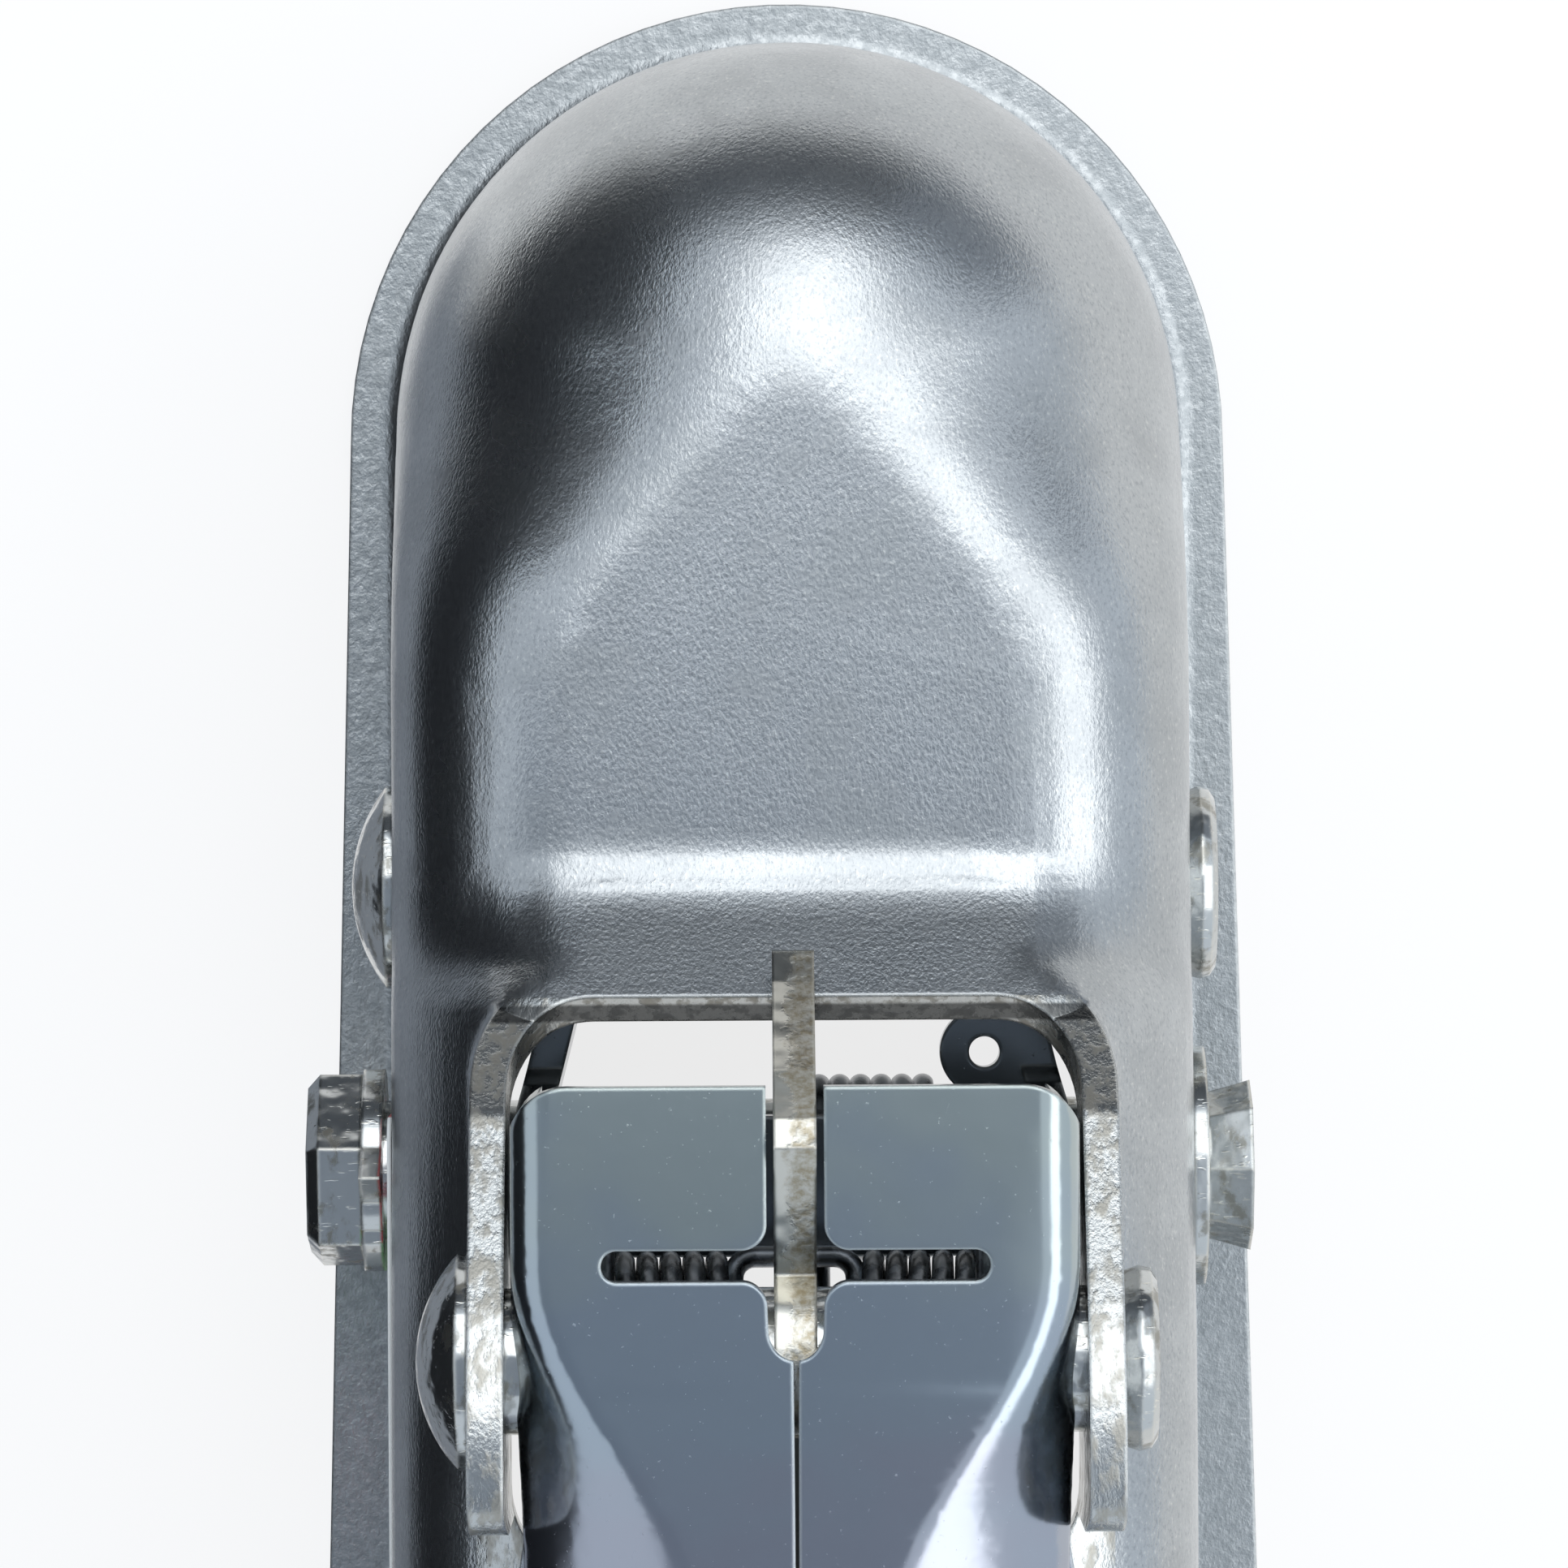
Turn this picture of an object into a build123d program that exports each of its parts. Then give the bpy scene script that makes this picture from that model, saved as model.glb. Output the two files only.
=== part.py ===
from build123d import *
import os
from math import cos, hypot, radians, sin, sqrt, tan

# Trailer coupling head for a towing ball, pressed from zinc-plated sheet steel.
# Millimetres. The origin is the centre of the seated ball, +Y points to the nose, +Z is up.

# Ball, sheet and clearances
ball_r = 25.0
ball_clearance = 0.5
sheet_t = 3.0
shank_clearance = 0.05
running_clearance = 0.06
side_clearance = 0.4
edge_tolerance = 0.01
blend_shares = (0, 0.25, 0.5, 0.75, 1)

# Housing: dome, plateau, slope and channel
half_w = ball_r + ball_clearance + sheet_t
crown_flat_r = 1.0
shoulder_r = 13.0
shoulder_len = 18.0
plateau_z = half_w
plateau_end_y = -31.7
rise_run = 8.3
rise_angle = 35.0
rise_bend_len = 2.0
body_rear_y = -165.0
split_z = 0.0

# Flange round the open bottom of the housing
flange_z = -18.0
flange_r = 32.7
flange_rear_half_w = 36.8
flange_bend_r = 2.0
mouth_r = 4.0

# Top opening and the ears drawn up along it
opening_half_w = 19.75
opening_rear_y = -80.0
opening_corner_r = 6.0
opening_depth = 6.0
ear_t = 2.5
ear_rear_y = -75.8
ear_rear_r = 3.0
ear_top_z = 51.5
ear_crest_y = -66.0
ear_crest_r = 24.0
ear_knee_y = -47.6
ear_knee_z = 41.0
ear_knee_r = 3.0
ear_front_z = 33.1
ear_root_z = 24.0
ear_bend_r = 1.4

# Cross pins, each at (y, z)
pin_r = 5.0
jaw_axis = (-32.9, 6.0)
lever_axis = (-53.3, 8.0)
handle_axis = (-64.6, 42.0)

# Drawbar bolt holes through both side walls
bolt_hole_r = 6.5
bolt_front_y = -95.0
bolt_spacing = 54.0
bolt_z = 6.5

# Rivet heads
jaw_rivet_head_r = 7.35
jaw_rivet_head_h = 3.3
jaw_rivet_peen_r = 7.0
jaw_rivet_peen_h = 2.2
handle_rivet_head_r = 7.4
handle_rivet_head_h = 3.7
handle_rivet_peen_r = 6.35
handle_rivet_peen_h = 2.4
head_rim_h = 0.8
peen_edge = 0.4

# Ball jaw
jaw_half_w = 17.0
jaw_hub_r = 7.4
jaw_seat_clearance = 0.4
jaw_toe_z = -15.0
jaw_toe_y = -17.5
jaw_toe_run = 9.0
jaw_arm_drop = 12.0
jaw_back_y = -38.2

# Closing lever: two cheeks and a top web
lever_t = 2.6
lever_half_w = 19.8
lever_nose_half_w = 17.2
lever_bend_y = -49.0
lever_bend_r = 10.4
lever_hub_r = 9.0
lever_nose_gap = 0.4
lever_nose_top_z = -0.8
lever_nose_h = 6.0
lever_web_top_z = 19.6
lever_web_rear_y = -59.0
lever_arm_y = -41.6
lug_z = 10.4
lug_end_x = 10.6
lug_y = -44.8
lug_half_w = 3.2
lug_hole_r = 1.1

# Wear indicator
pointer_t = 1.5
pointer_gap = 0.9
pointer_r = 7.3
pointer_tip_r = 11.0
pointer_notch_w = 1.2
pointer_notch_depth = 2.0
pointer_notch_y = 4.6
pin_head_r = 7.25
pin_head_sides = 6
pin_head_turn = 15.0
pin_head_h = 4.0
pin_head_chamfer = 0.9
washer_r = 8.65
washer_t = 1.1
washer_gap = 0.3
pin_end_r = 6.15
pin_end_sides = 8
pin_end_h = 3.2
pin_end_flare = 0.9
label_t = 0.3
label_front_y = -49.0
label_rear_y = -84.0
label_low_z = -4.0
label_high_z = 20.0
label_corner_r = 2.0
label_hole_r = 6.2

# Handle
handle_t = 2.0
handle_half_w = opening_half_w - side_clearance
handle_front_y = -45.5
handle_front_z = 50.8
handle_rear_y = -158.0
handle_rear_z = 57.0
handle_toe_z = 37.0
handle_floor_z = 20.0
handle_foot_z = 35.5
handle_foot_r = 6.0
handle_edge_lean = 0.25
handle_bend_r = 2.6
handle_taper_y = -66.0
handle_taper_len = 25.0
handle_grip_half_w = 9.5
handle_grip_r = 7.0
handle_web_front_y = -75.0
handle_web_z = 38.0
handle_rear_web_z = 45.0
handle_eye_r = 9.0
handle_corner_r = 4.0
handle_end_r = 9.0
slot_w = 3.9
slot_end_y = -63.9
cross_slot_y = -57.55
cross_slot_w = 2.1
cross_slot_half = 13.1
slot_corner_r = 1.7
seam_w = 0.4

# Safety catch
catch_t = 2.9
catch_hub_r = 7.4
catch_nose_gap = 0.6
catch_tooth_h = 3.0
catch_tooth_len = 3.0
catch_tooth_gap = 0.8
catch_top = (
    (-36.8, 37.4),
    (-38.8, 39.0),
    (-44.6, 46.0),
    (-47.6, 51.0),
    (-49.6, 52.0),
    (-58.2, 46.4),
)

# Springs
wire_r = 0.75
coil_play = 0.25
coil_turns = 6
coil_valley_share = 0.4
leg_sink = 0.1
coil_inner_r = pin_r + coil_play
coil_start_x = 3.5
handle_leg_angle = 68.0
handle_leg_len = 11.0
loop_len = 8.6
loop_drop = 2.9
web_leg_angle = 100.0
web_leg_len = 4.0
roof_leg_angle = 222.0

# Values worked out from the sizes above
inner_half_w = half_w - sheet_t
rise_slope = tan(radians(rise_angle))
lip_y = plateau_end_y - rise_run
lip_z = plateau_z + rise_run * rise_slope
channel_top_z = lip_z + rise_slope * rise_bend_len / 2
ear_outer_x = opening_half_w + ear_t
hole_r = pin_r + shank_clearance
eye_r = pin_r + running_clearance
coil_len = 2 * wire_r * coil_turns
coil_middle_r = coil_inner_r + wire_r
leg_r = coil_middle_r - leg_sink
handle_slope = (handle_rear_z - handle_front_z) / (handle_front_y - handle_rear_y)
catch_nose_z = lip_z + catch_nose_gap
catch_tooth_y = lip_y - sheet_t * sin(radians(rise_angle)) - catch_tooth_gap


def ease(share):
    """A share of a blend, slow at both ends."""
    return share * share * (3 - 2 * share)


def arch(y, half_width, top, corner_r):
    """One cross-section of the upper housing, with rounded shoulders."""
    shoulder_x = half_width - corner_r
    shoulder_z = top - corner_r
    with BuildSketch(Plane.XZ.offset(-y)) as section:
        with BuildLine():
            Line((-half_width, flange_z), (-half_width, shoulder_z))
            CenterArc((-shoulder_x, shoulder_z), corner_r, 180, -90)
            Line((-shoulder_x, top), (shoulder_x, top))
            CenterArc((shoulder_x, shoulder_z), corner_r, 90, -90)
            Line((half_width, shoulder_z), (half_width, flange_z))
            Line((half_width, flange_z), (-half_width, flange_z))
        make_face()
    return section.sketch.face()


def shoulder_run_sections(inset):
    """Shoulders that tighten from the full dome to the channel's bend."""
    full_r = half_w - crown_flat_r
    sections = []
    for share in blend_shares:
        corner_r = full_r + (shoulder_r - full_r) * ease(share)
        sections.append(arch(-shoulder_len * share, half_w - inset, plateau_z - inset, corner_r - inset))
    return sections


def rise_section(inset, ahead, rise):
    """A section of the slope, placed ahead of its foot and raised above the plateau."""
    # The sheet keeps its thickness on the slope when its inner face starts further back.
    foot_y = plateau_end_y - inset * tan(radians(rise_angle) / 2)
    return arch(foot_y + ahead, half_w - inset, plateau_z + rise - inset, shoulder_r - inset)


def rise_runs(inset):
    """The hollow bend at the foot of the slope, the straight slope and the bend at its crest."""
    bend = rise_bend_len / 2
    height = rise_run * rise_slope
    foot = [
        rise_section(inset, bend, 0),
        rise_section(inset, 0, rise_slope * bend / 4),
        rise_section(inset, -bend, rise_slope * bend),
    ]
    crest = [
        rise_section(inset, -rise_run, height),
        rise_section(inset, -rise_run - bend, height + rise_slope * bend * 0.75),
        rise_section(inset, -rise_run - 2 * bend, height + rise_slope * bend),
    ]
    return [foot, [foot[-1], crest[0]], crest]


def upper_solid(inset, rear_y):
    """Dome, plateau, slope and channel as one solid block."""
    half_width = half_w - inset
    top = plateau_z - inset
    corner_r = half_width - crown_flat_r
    runs = rise_runs(inset)
    shoulders = shoulder_run_sections(inset)
    with BuildPart() as block:
        with BuildSketch(Plane.XZ):
            with BuildLine():
                Line((0, flange_z), (half_width, flange_z))
                Line((half_width, flange_z), (half_width, top - corner_r))
                CenterArc((crown_flat_r, top - corner_r), corner_r, 0, 90)
                Line((crown_flat_r, top), (0, top))
                Line((0, top), (0, flange_z))
            make_face()
        revolve(axis=Axis.Z, revolution_arc=180)
        loft(sections=shoulders)
        loft(sections=[shoulders[-1], runs[0][0]], ruled=True)
        for run in runs:
            loft(sections=run, ruled=len(run) == 2)
        extrude(runs[-1][-1], amount=runs[-1][-1].center().Y - rear_y)
        split(bisect_by=Plane.XY.offset(split_z), keep=Keep.TOP)
    return block.part


def plan_outline(half_width, rear_half_w, rear_y, z):
    """Rounded nose with straight sides running back to the rear end."""
    with BuildSketch(Plane.XY.offset(z)) as outline:
        Circle(half_width)
        Polygon(
            (-half_width, 0),
            (half_width, 0),
            (rear_half_w, rear_y),
            (-rear_half_w, rear_y),
            align=None,
        )
    return outline.sketch


def along_wall(edges, z, half_width):
    """The edges at one height that follow a wall of the given half-width."""
    picked = []
    for edge in edges.filter_by_position(Axis.Z, z, z):
        point = edge @ 0.5
        reach = hypot(point.X, max(point.Y, 0))
        if abs(reach - half_width) < edge_tolerance:
            picked.append(edge)
    return picked


def cross_hole(axis, radius, reach):
    """A cylinder along X on a pin's axis, as long each way as its reach."""
    with BuildPart(mode=Mode.PRIVATE) as hole:
        with BuildSketch(Plane.YZ):
            with Locations(axis):
                Circle(radius)
        extrude(amount=reach, both=True)
    return hole.part


with BuildPart() as skirt:
    extrude(plan_outline(half_w, half_w, body_rear_y, flange_z), amount=split_z - flange_z)
    extrude(plan_outline(flange_r, flange_rear_half_w, body_rear_y, flange_z), amount=sheet_t)
    fillet(along_wall(skirt.edges(), flange_z + sheet_t, half_w), flange_bend_r)
    inside = plan_outline(inner_half_w, inner_half_w, body_rear_y - sheet_t, flange_z)
    extrude(inside, amount=split_z - flange_z, mode=Mode.SUBTRACT)
    fillet(along_wall(skirt.edges(), flange_z, inner_half_w), mouth_r)


def opening_plan(front_y, z, margin):
    """The rounded outline of the top opening, widened by a margin."""
    with BuildSketch(Plane.XY.offset(z)) as plan:
        with Locations((0, (front_y + opening_rear_y) / 2)):
            RectangleRounded(
                2 * (opening_half_w + margin),
                front_y - opening_rear_y + 2 * margin,
                opening_corner_r + margin,
            )
    return plan.sketch


with BuildPart() as opening_cut:
    # Below its top edge the front face of the cut stands square to the slope.
    cut_foot = opening_plan(lip_y - opening_depth * rise_slope, lip_z - opening_depth, 0)
    cut_top = opening_plan(lip_y, lip_z, 0)
    loft(sections=[cut_foot.face(), cut_top.face()], ruled=True)
    extrude(cut_top, amount=ear_top_z)


with BuildPart() as ears:
    extrude(opening_plan(lip_y, ear_root_z, ear_t), amount=ear_top_z - ear_root_z)
    with BuildSketch(Plane.YZ):
        with BuildLine():
            FilletPolyline(
                (ear_rear_y, ear_root_z),
                (ear_rear_y, ear_top_z),
                (ear_crest_y, ear_top_z),
                (ear_knee_y, ear_knee_z),
                (lip_y, ear_front_z),
                radius=(ear_rear_r, ear_crest_r, ear_knee_r),
            )
            Polyline((lip_y, ear_front_z), (lip_y, ear_root_z), (ear_rear_y, ear_root_z))
        make_face()
    extrude(amount=half_w, both=True, mode=Mode.INTERSECT)


def at_ear_root(edge):
    """Whether an edge follows the outside of the ears where they leave the housing."""
    for share in (0.1, 0.5, 0.9):
        point = edge @ share
        corner_x = abs(point.X) - opening_half_w + opening_corner_r
        corner_y = max(point.Y - lip_y + opening_corner_r, 0)
        reach = hypot(max(corner_x, 0), corner_y)
        if abs(reach - opening_corner_r - ear_t) > edge_tolerance or point.Z > channel_top_z:
            return False
    return edge.length > ear_t


with BuildPart() as coupling_body:
    add(upper_solid(0, body_rear_y))
    add(skirt.part)
    add(ears.part)
    fillet(coupling_body.edges().filter_by(at_ear_root), ear_bend_r)
    add(upper_solid(sheet_t, body_rear_y - sheet_t), mode=Mode.SUBTRACT)
    add(opening_cut.part, mode=Mode.SUBTRACT)
    add(cross_hole(jaw_axis, hole_r, 2 * half_w), mode=Mode.SUBTRACT)
    add(cross_hole(lever_axis, eye_r, 2 * half_w), mode=Mode.SUBTRACT)
    add(cross_hole(handle_axis, hole_r, 2 * half_w), mode=Mode.SUBTRACT)
    for step in range(2):
        bolt_axis = (bolt_front_y - step * bolt_spacing, bolt_z)
        add(cross_hole(bolt_axis, bolt_hole_r, 2 * half_w), mode=Mode.SUBTRACT)


def pin_plane(axis):
    """A plane along a cross pin: local x is along the pin, local y is the radius."""
    return Plane(origin=(0, *axis), x_dir=(1, 0, 0), z_dir=(0, -1, 0))


def pin_line(axis):
    """The centre line of a cross pin."""
    return Axis((0, *axis), (1, 0, 0))


def rivet(axis, grip, head_r, head_h, peen_r, peen_h):
    """A cross rivet with a mushroom head on the left and a peened head on the right."""
    crown = head_h - head_rim_h
    crown_r = (head_r**2 + crown**2) / (2 * crown)
    halfway = sqrt(crown_r**2 - (head_r / 2) ** 2) - (crown_r - crown)
    with BuildPart() as piece:
        with BuildSketch(pin_plane(axis)):
            with BuildLine():
                ThreePointArc(
                    (-grip - head_h, 0),
                    (-grip - head_rim_h - halfway, head_r / 2),
                    (-grip - head_rim_h, head_r),
                )
                Polyline(
                    (-grip - head_rim_h, head_r),
                    (-grip, head_r),
                    (-grip, pin_r),
                    (grip, pin_r),
                    (grip, peen_r - peen_edge),
                    (grip + peen_h / 2, peen_r),
                    (grip + peen_h - peen_edge, peen_r - peen_edge / 2),
                    (grip + peen_h, peen_r - 2 * peen_edge),
                    (grip + peen_h, 0),
                    (-grip - head_h, 0),
                )
            make_face()
        revolve(axis=pin_line(axis))
    return piece.part


def coil(axis, start_x):
    """A close-wound coil round a pin, its turns side by side."""
    crest_r = coil_middle_r + wire_r
    valley_r = coil_middle_r + wire_r * coil_valley_share
    with BuildPart() as piece:
        with BuildSketch(pin_plane(axis)):
            with BuildLine():
                for turn in range(coil_turns):
                    x = start_x + 2 * wire_r * turn
                    ThreePointArc((x, valley_r), (x + wire_r, crest_r), (x + 2 * wire_r, valley_r))
                Polyline(
                    (start_x + coil_len, valley_r),
                    (start_x + coil_len, coil_inner_r),
                    (start_x, coil_inner_r),
                    (start_x, valley_r),
                )
            make_face()
        revolve(axis=pin_line(axis))
    return piece.part


def wire(points):
    """A straight-bent wire through the given points."""
    with BuildPart() as piece:
        with BuildLine() as path:
            if len(points) == 2:
                Line(*points)
            else:
                FilletPolyline(*points, radius=2 * wire_r)
        with BuildSketch(Plane(origin=points[0], z_dir=path.line % 0)):
            Circle(wire_r)
        sweep()
    return piece.part


def beside(axis, x, radius, angle, run=0.0):
    """A point at an angle round a pin, then a run along the tangent there."""
    along = radians(angle)
    y = axis[0] + radius * cos(along) + run * sin(along)
    z = axis[1] + radius * sin(along) - run * cos(along)
    return (x, y, z)


jaw_pivot_rivet = rivet(
    jaw_axis, half_w, jaw_rivet_head_r, jaw_rivet_head_h, jaw_rivet_peen_r, jaw_rivet_peen_h
)
handle_pivot_rivet = rivet(
    handle_axis,
    ear_outer_x,
    handle_rivet_head_r,
    handle_rivet_head_h,
    handle_rivet_peen_r,
    handle_rivet_peen_h,
)


with BuildPart() as ball_jaw:
    with BuildSketch(Plane.YZ):
        Polygon(
            (jaw_toe_y, jaw_toe_z),
            (jaw_toe_y - jaw_toe_run, jaw_toe_z),
            (jaw_back_y, jaw_axis[1] - jaw_arm_drop),
            (jaw_back_y, jaw_axis[1]),
            (jaw_axis[0] + jaw_hub_r, jaw_axis[1]),
            align=None,
        )
        with Locations(jaw_axis):
            Circle(jaw_hub_r)
    extrude(amount=jaw_half_w, both=True)
    with BuildSketch(Plane.YZ):
        with Locations(jaw_axis):
            Circle(jaw_hub_r)
    extrude(amount=inner_half_w - side_clearance, both=True)
    Sphere(ball_r + jaw_seat_clearance, mode=Mode.SUBTRACT)
    add(cross_hole(jaw_axis, eye_r, half_w), mode=Mode.SUBTRACT)


with BuildPart() as closing_lever:
    nose_y = jaw_back_y - lever_nose_gap
    with BuildSketch(Plane.XY.offset(flange_z)) as cheek_plan:
        with BuildLine():
            Polyline(
                (lever_nose_half_w - lever_t, nose_y),
                (lever_half_w - lever_t, lever_bend_y),
                (lever_half_w - lever_t, lever_web_rear_y - lever_t),
                (lever_half_w, lever_web_rear_y - lever_t),
                (lever_half_w, lever_bend_y),
                (lever_nose_half_w, nose_y),
                close=True,
            )
        make_face()
        bend_corners = cheek_plan.vertices().filter_by_position(Axis.Y, lever_bend_y, lever_bend_y)
        fillet(bend_corners, lever_bend_r)
        mirror(about=Plane.YZ)
    extrude(amount=lever_web_top_z - flange_z)
    with BuildSketch(Plane.XY.offset(lever_web_top_z - lever_t)):
        with Locations((0, (lever_bend_y + lever_web_rear_y) / 2)):
            Rectangle(2 * lever_half_w - lever_t, lever_bend_y - lever_web_rear_y)
    extrude(amount=lever_t)
    with BuildSketch(Plane.YZ):
        with BuildLine():
            Polyline(
                (nose_y, lever_nose_top_z),
                (lever_arm_y, lever_nose_top_z + nose_y - lever_arm_y),
                (lever_arm_y, lug_z + lever_t),
                (lever_bend_y + lever_t, lug_z + lever_t),
                (lever_bend_y, lever_web_top_z),
                (lever_web_rear_y, lever_web_top_z),
                (lever_axis[0] - lever_hub_r, lever_axis[1]),
                (lever_axis[0], lever_axis[1] - lever_hub_r),
                (nose_y, lever_nose_top_z - lever_nose_h),
                close=True,
            )
        make_face()
        with Locations(lever_axis):
            Circle(lever_hub_r)
    extrude(amount=half_w, both=True, mode=Mode.INTERSECT)
    with BuildSketch(Plane.XY.offset(lug_z)):
        with Locations(((lug_end_x + lug_half_w + lever_half_w - lever_t) / 2, lug_y)):
            Rectangle(lever_half_w - lever_t - lug_end_x - lug_half_w, 2 * lug_half_w)
        with Locations((lug_end_x + lug_half_w, lug_y)):
            Circle(lug_half_w)
            Circle(lug_hole_r, mode=Mode.SUBTRACT)
    extrude(amount=lever_t)
    add(cross_hole(lever_axis, hole_r, half_w), mode=Mode.SUBTRACT)


with BuildPart() as indicator_pointer:
    with BuildSketch(Plane.YZ.offset(-half_w - pointer_gap)):
        with Locations(lever_axis):
            Circle(pointer_r)
            Polygon(
                (-pointer_r / 2, pointer_r / 2),
                (pointer_r / 2, pointer_r / 2),
                (0, pointer_tip_r),
                align=None,
            )
        with Locations((lever_axis[0] - pointer_notch_y, lever_axis[1] + pointer_r)):
            Rectangle(pointer_notch_w, 2 * pointer_notch_depth, mode=Mode.SUBTRACT)
        with Locations(lever_axis):
            Circle(hole_r, mode=Mode.SUBTRACT)
    extrude(amount=-pointer_t)


with BuildPart() as indicator_pin:
    head_x = half_w + pointer_gap + pointer_t
    end_x = half_w + washer_t + washer_gap
    with BuildSketch(Plane.YZ.offset(-head_x)):
        with Locations(lever_axis):
            Circle(pin_r)
    extrude(amount=head_x + end_x)
    with BuildSketch(Plane.YZ.offset(-head_x)):
        with Locations(lever_axis):
            RegularPolygon(pin_head_r, pin_head_sides, rotation=pin_head_turn)
    extrude(amount=-pin_head_h)
    chamfer(indicator_pin.faces().sort_by(Axis.X)[0].edges(), pin_head_chamfer)
    with BuildSketch(Plane.YZ.offset(end_x)):
        with Locations(lever_axis):
            RegularPolygon(pin_end_r - pin_end_flare, pin_end_sides)
    with BuildSketch(Plane.YZ.offset(end_x + pin_end_h)):
        with Locations(lever_axis):
            RegularPolygon(pin_end_r, pin_end_sides)
    loft(ruled=True)


with BuildPart() as indicator_washer:
    with BuildSketch(Plane.YZ.offset(half_w + washer_gap / 2)):
        with Locations(lever_axis):
            Circle(washer_r)
            Circle(eye_r, mode=Mode.SUBTRACT)
    extrude(amount=washer_t)


with BuildPart() as indicator_label:
    with BuildSketch(Plane.YZ.offset(-half_w)):
        with Locations(((label_front_y + label_rear_y) / 2, (label_low_z + label_high_z) / 2)):
            RectangleRounded(
                label_front_y - label_rear_y, label_high_z - label_low_z, label_corner_r
            )
        with Locations(lever_axis):
            Circle(label_hole_r, mode=Mode.SUBTRACT)
    extrude(amount=-label_t)


def handle_section(y, top_half_w, bend_r, inset):
    """A section of the handle, open at the bottom, set in from its outside."""
    top = handle_front_z + handle_slope * (handle_front_y - y)
    with BuildSketch(Plane.XZ.offset(-y)) as section:
        with BuildLine():
            FilletPolyline(
                (-handle_half_w, handle_floor_z),
                (-handle_half_w, handle_foot_z),
                (-top_half_w, top),
                (top_half_w, top),
                (handle_half_w, handle_foot_z),
                (handle_half_w, handle_floor_z),
                radius=(handle_foot_r, bend_r, bend_r, handle_foot_r),
            )
            Line((handle_half_w, handle_floor_z), (-handle_half_w, handle_floor_z))
        make_face()
        if inset:
            offset(amount=-inset, kind=Kind.INTERSECTION)
    return section.sketch.face()


def handle_block(inset):
    """Flat front, taper and grip of the handle as one solid block."""
    front_half_w = handle_half_w - handle_edge_lean
    taper = []
    for share in blend_shares:
        taper.append(
            handle_section(
                handle_taper_y - handle_taper_len * share,
                front_half_w + (handle_grip_half_w - front_half_w) * ease(share),
                handle_bend_r + (handle_grip_r - handle_bend_r) * ease(share),
                inset,
            )
        )
    front = handle_section(handle_front_y + inset, front_half_w, handle_bend_r, inset)
    rear = handle_section(handle_rear_y - inset, handle_grip_half_w, handle_grip_r, inset)
    with BuildPart() as block:
        loft(sections=[front, taper[0]], ruled=True)
        loft(sections=taper)
        loft(sections=[taper[-1], rear], ruled=True)
    return block.part


with BuildPart() as handle:
    add(handle_block(0))
    add(handle_block(handle_t), mode=Mode.SUBTRACT)
    with BuildSketch(Plane.YZ):
        Polygon(
            (handle_web_front_y, handle_web_z),
            (handle_rear_y, handle_rear_web_z),
            (handle_rear_y, handle_rear_web_z + handle_t),
            (handle_web_front_y, handle_web_z + handle_t),
            align=None,
        )
    extrude(amount=handle_half_w - handle_t / 2, both=True)
    with BuildSketch(Plane.YZ):
        Polygon(
            (handle_front_y, 2 * handle_rear_z),
            (handle_front_y, handle_toe_z),
            (handle_axis[0] + handle_eye_r, handle_axis[1] - handle_eye_r),
            (handle_axis[0], handle_axis[1] - handle_eye_r),
            (handle_web_front_y, handle_web_z),
            (handle_rear_y, handle_rear_web_z),
            (handle_rear_y, 2 * handle_rear_z),
            align=None,
        )
    extrude(amount=half_w, both=True, mode=Mode.INTERSECT)
    with BuildSketch(Plane.XY) as handle_plan:
        with Locations((0, (handle_front_y + handle_rear_y) / 2)):
            Rectangle(2 * handle_half_w, handle_front_y - handle_rear_y)
        fillet(handle_plan.vertices().group_by(Axis.Y)[-1], handle_corner_r)
        fillet(handle_plan.vertices().group_by(Axis.Y)[0], handle_end_r)
    extrude(amount=2 * handle_rear_z, mode=Mode.INTERSECT)
    with BuildSketch(Plane.XY.offset(handle_floor_z)) as slots:
        with Locations((0, (slot_end_y + slot_w / 2 + handle_front_y + slot_w) / 2)):
            Rectangle(slot_w, handle_front_y + slot_w / 2 - slot_end_y)
        with Locations((0, cross_slot_y)):
            Rectangle(2 * cross_slot_half - cross_slot_w, cross_slot_w)
        crossing = slots.vertices().filter_by_position(
            Axis.Y, cross_slot_y - cross_slot_w, cross_slot_y + cross_slot_w
        )
        fillet(crossing.filter_by_position(Axis.X, -slot_w, slot_w), slot_corner_r)
        with Locations((0, slot_end_y + slot_w / 2)):
            Circle(slot_w / 2)
        cross_end_x = cross_slot_half - cross_slot_w / 2
        with Locations((-cross_end_x, cross_slot_y), (cross_end_x, cross_slot_y)):
            Circle(cross_slot_w / 2)
    extrude(amount=handle_rear_z, mode=Mode.SUBTRACT)
    with BuildSketch(Plane.XY.offset(handle_axis[1] + coil_inner_r)):
        with Locations((0, (slot_end_y + handle_rear_y) / 2)):
            Rectangle(seam_w, slot_end_y - handle_rear_y + slot_w)
    extrude(amount=handle_rear_z, mode=Mode.SUBTRACT)
    add(cross_hole(handle_axis, eye_r, half_w), mode=Mode.SUBTRACT)


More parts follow.
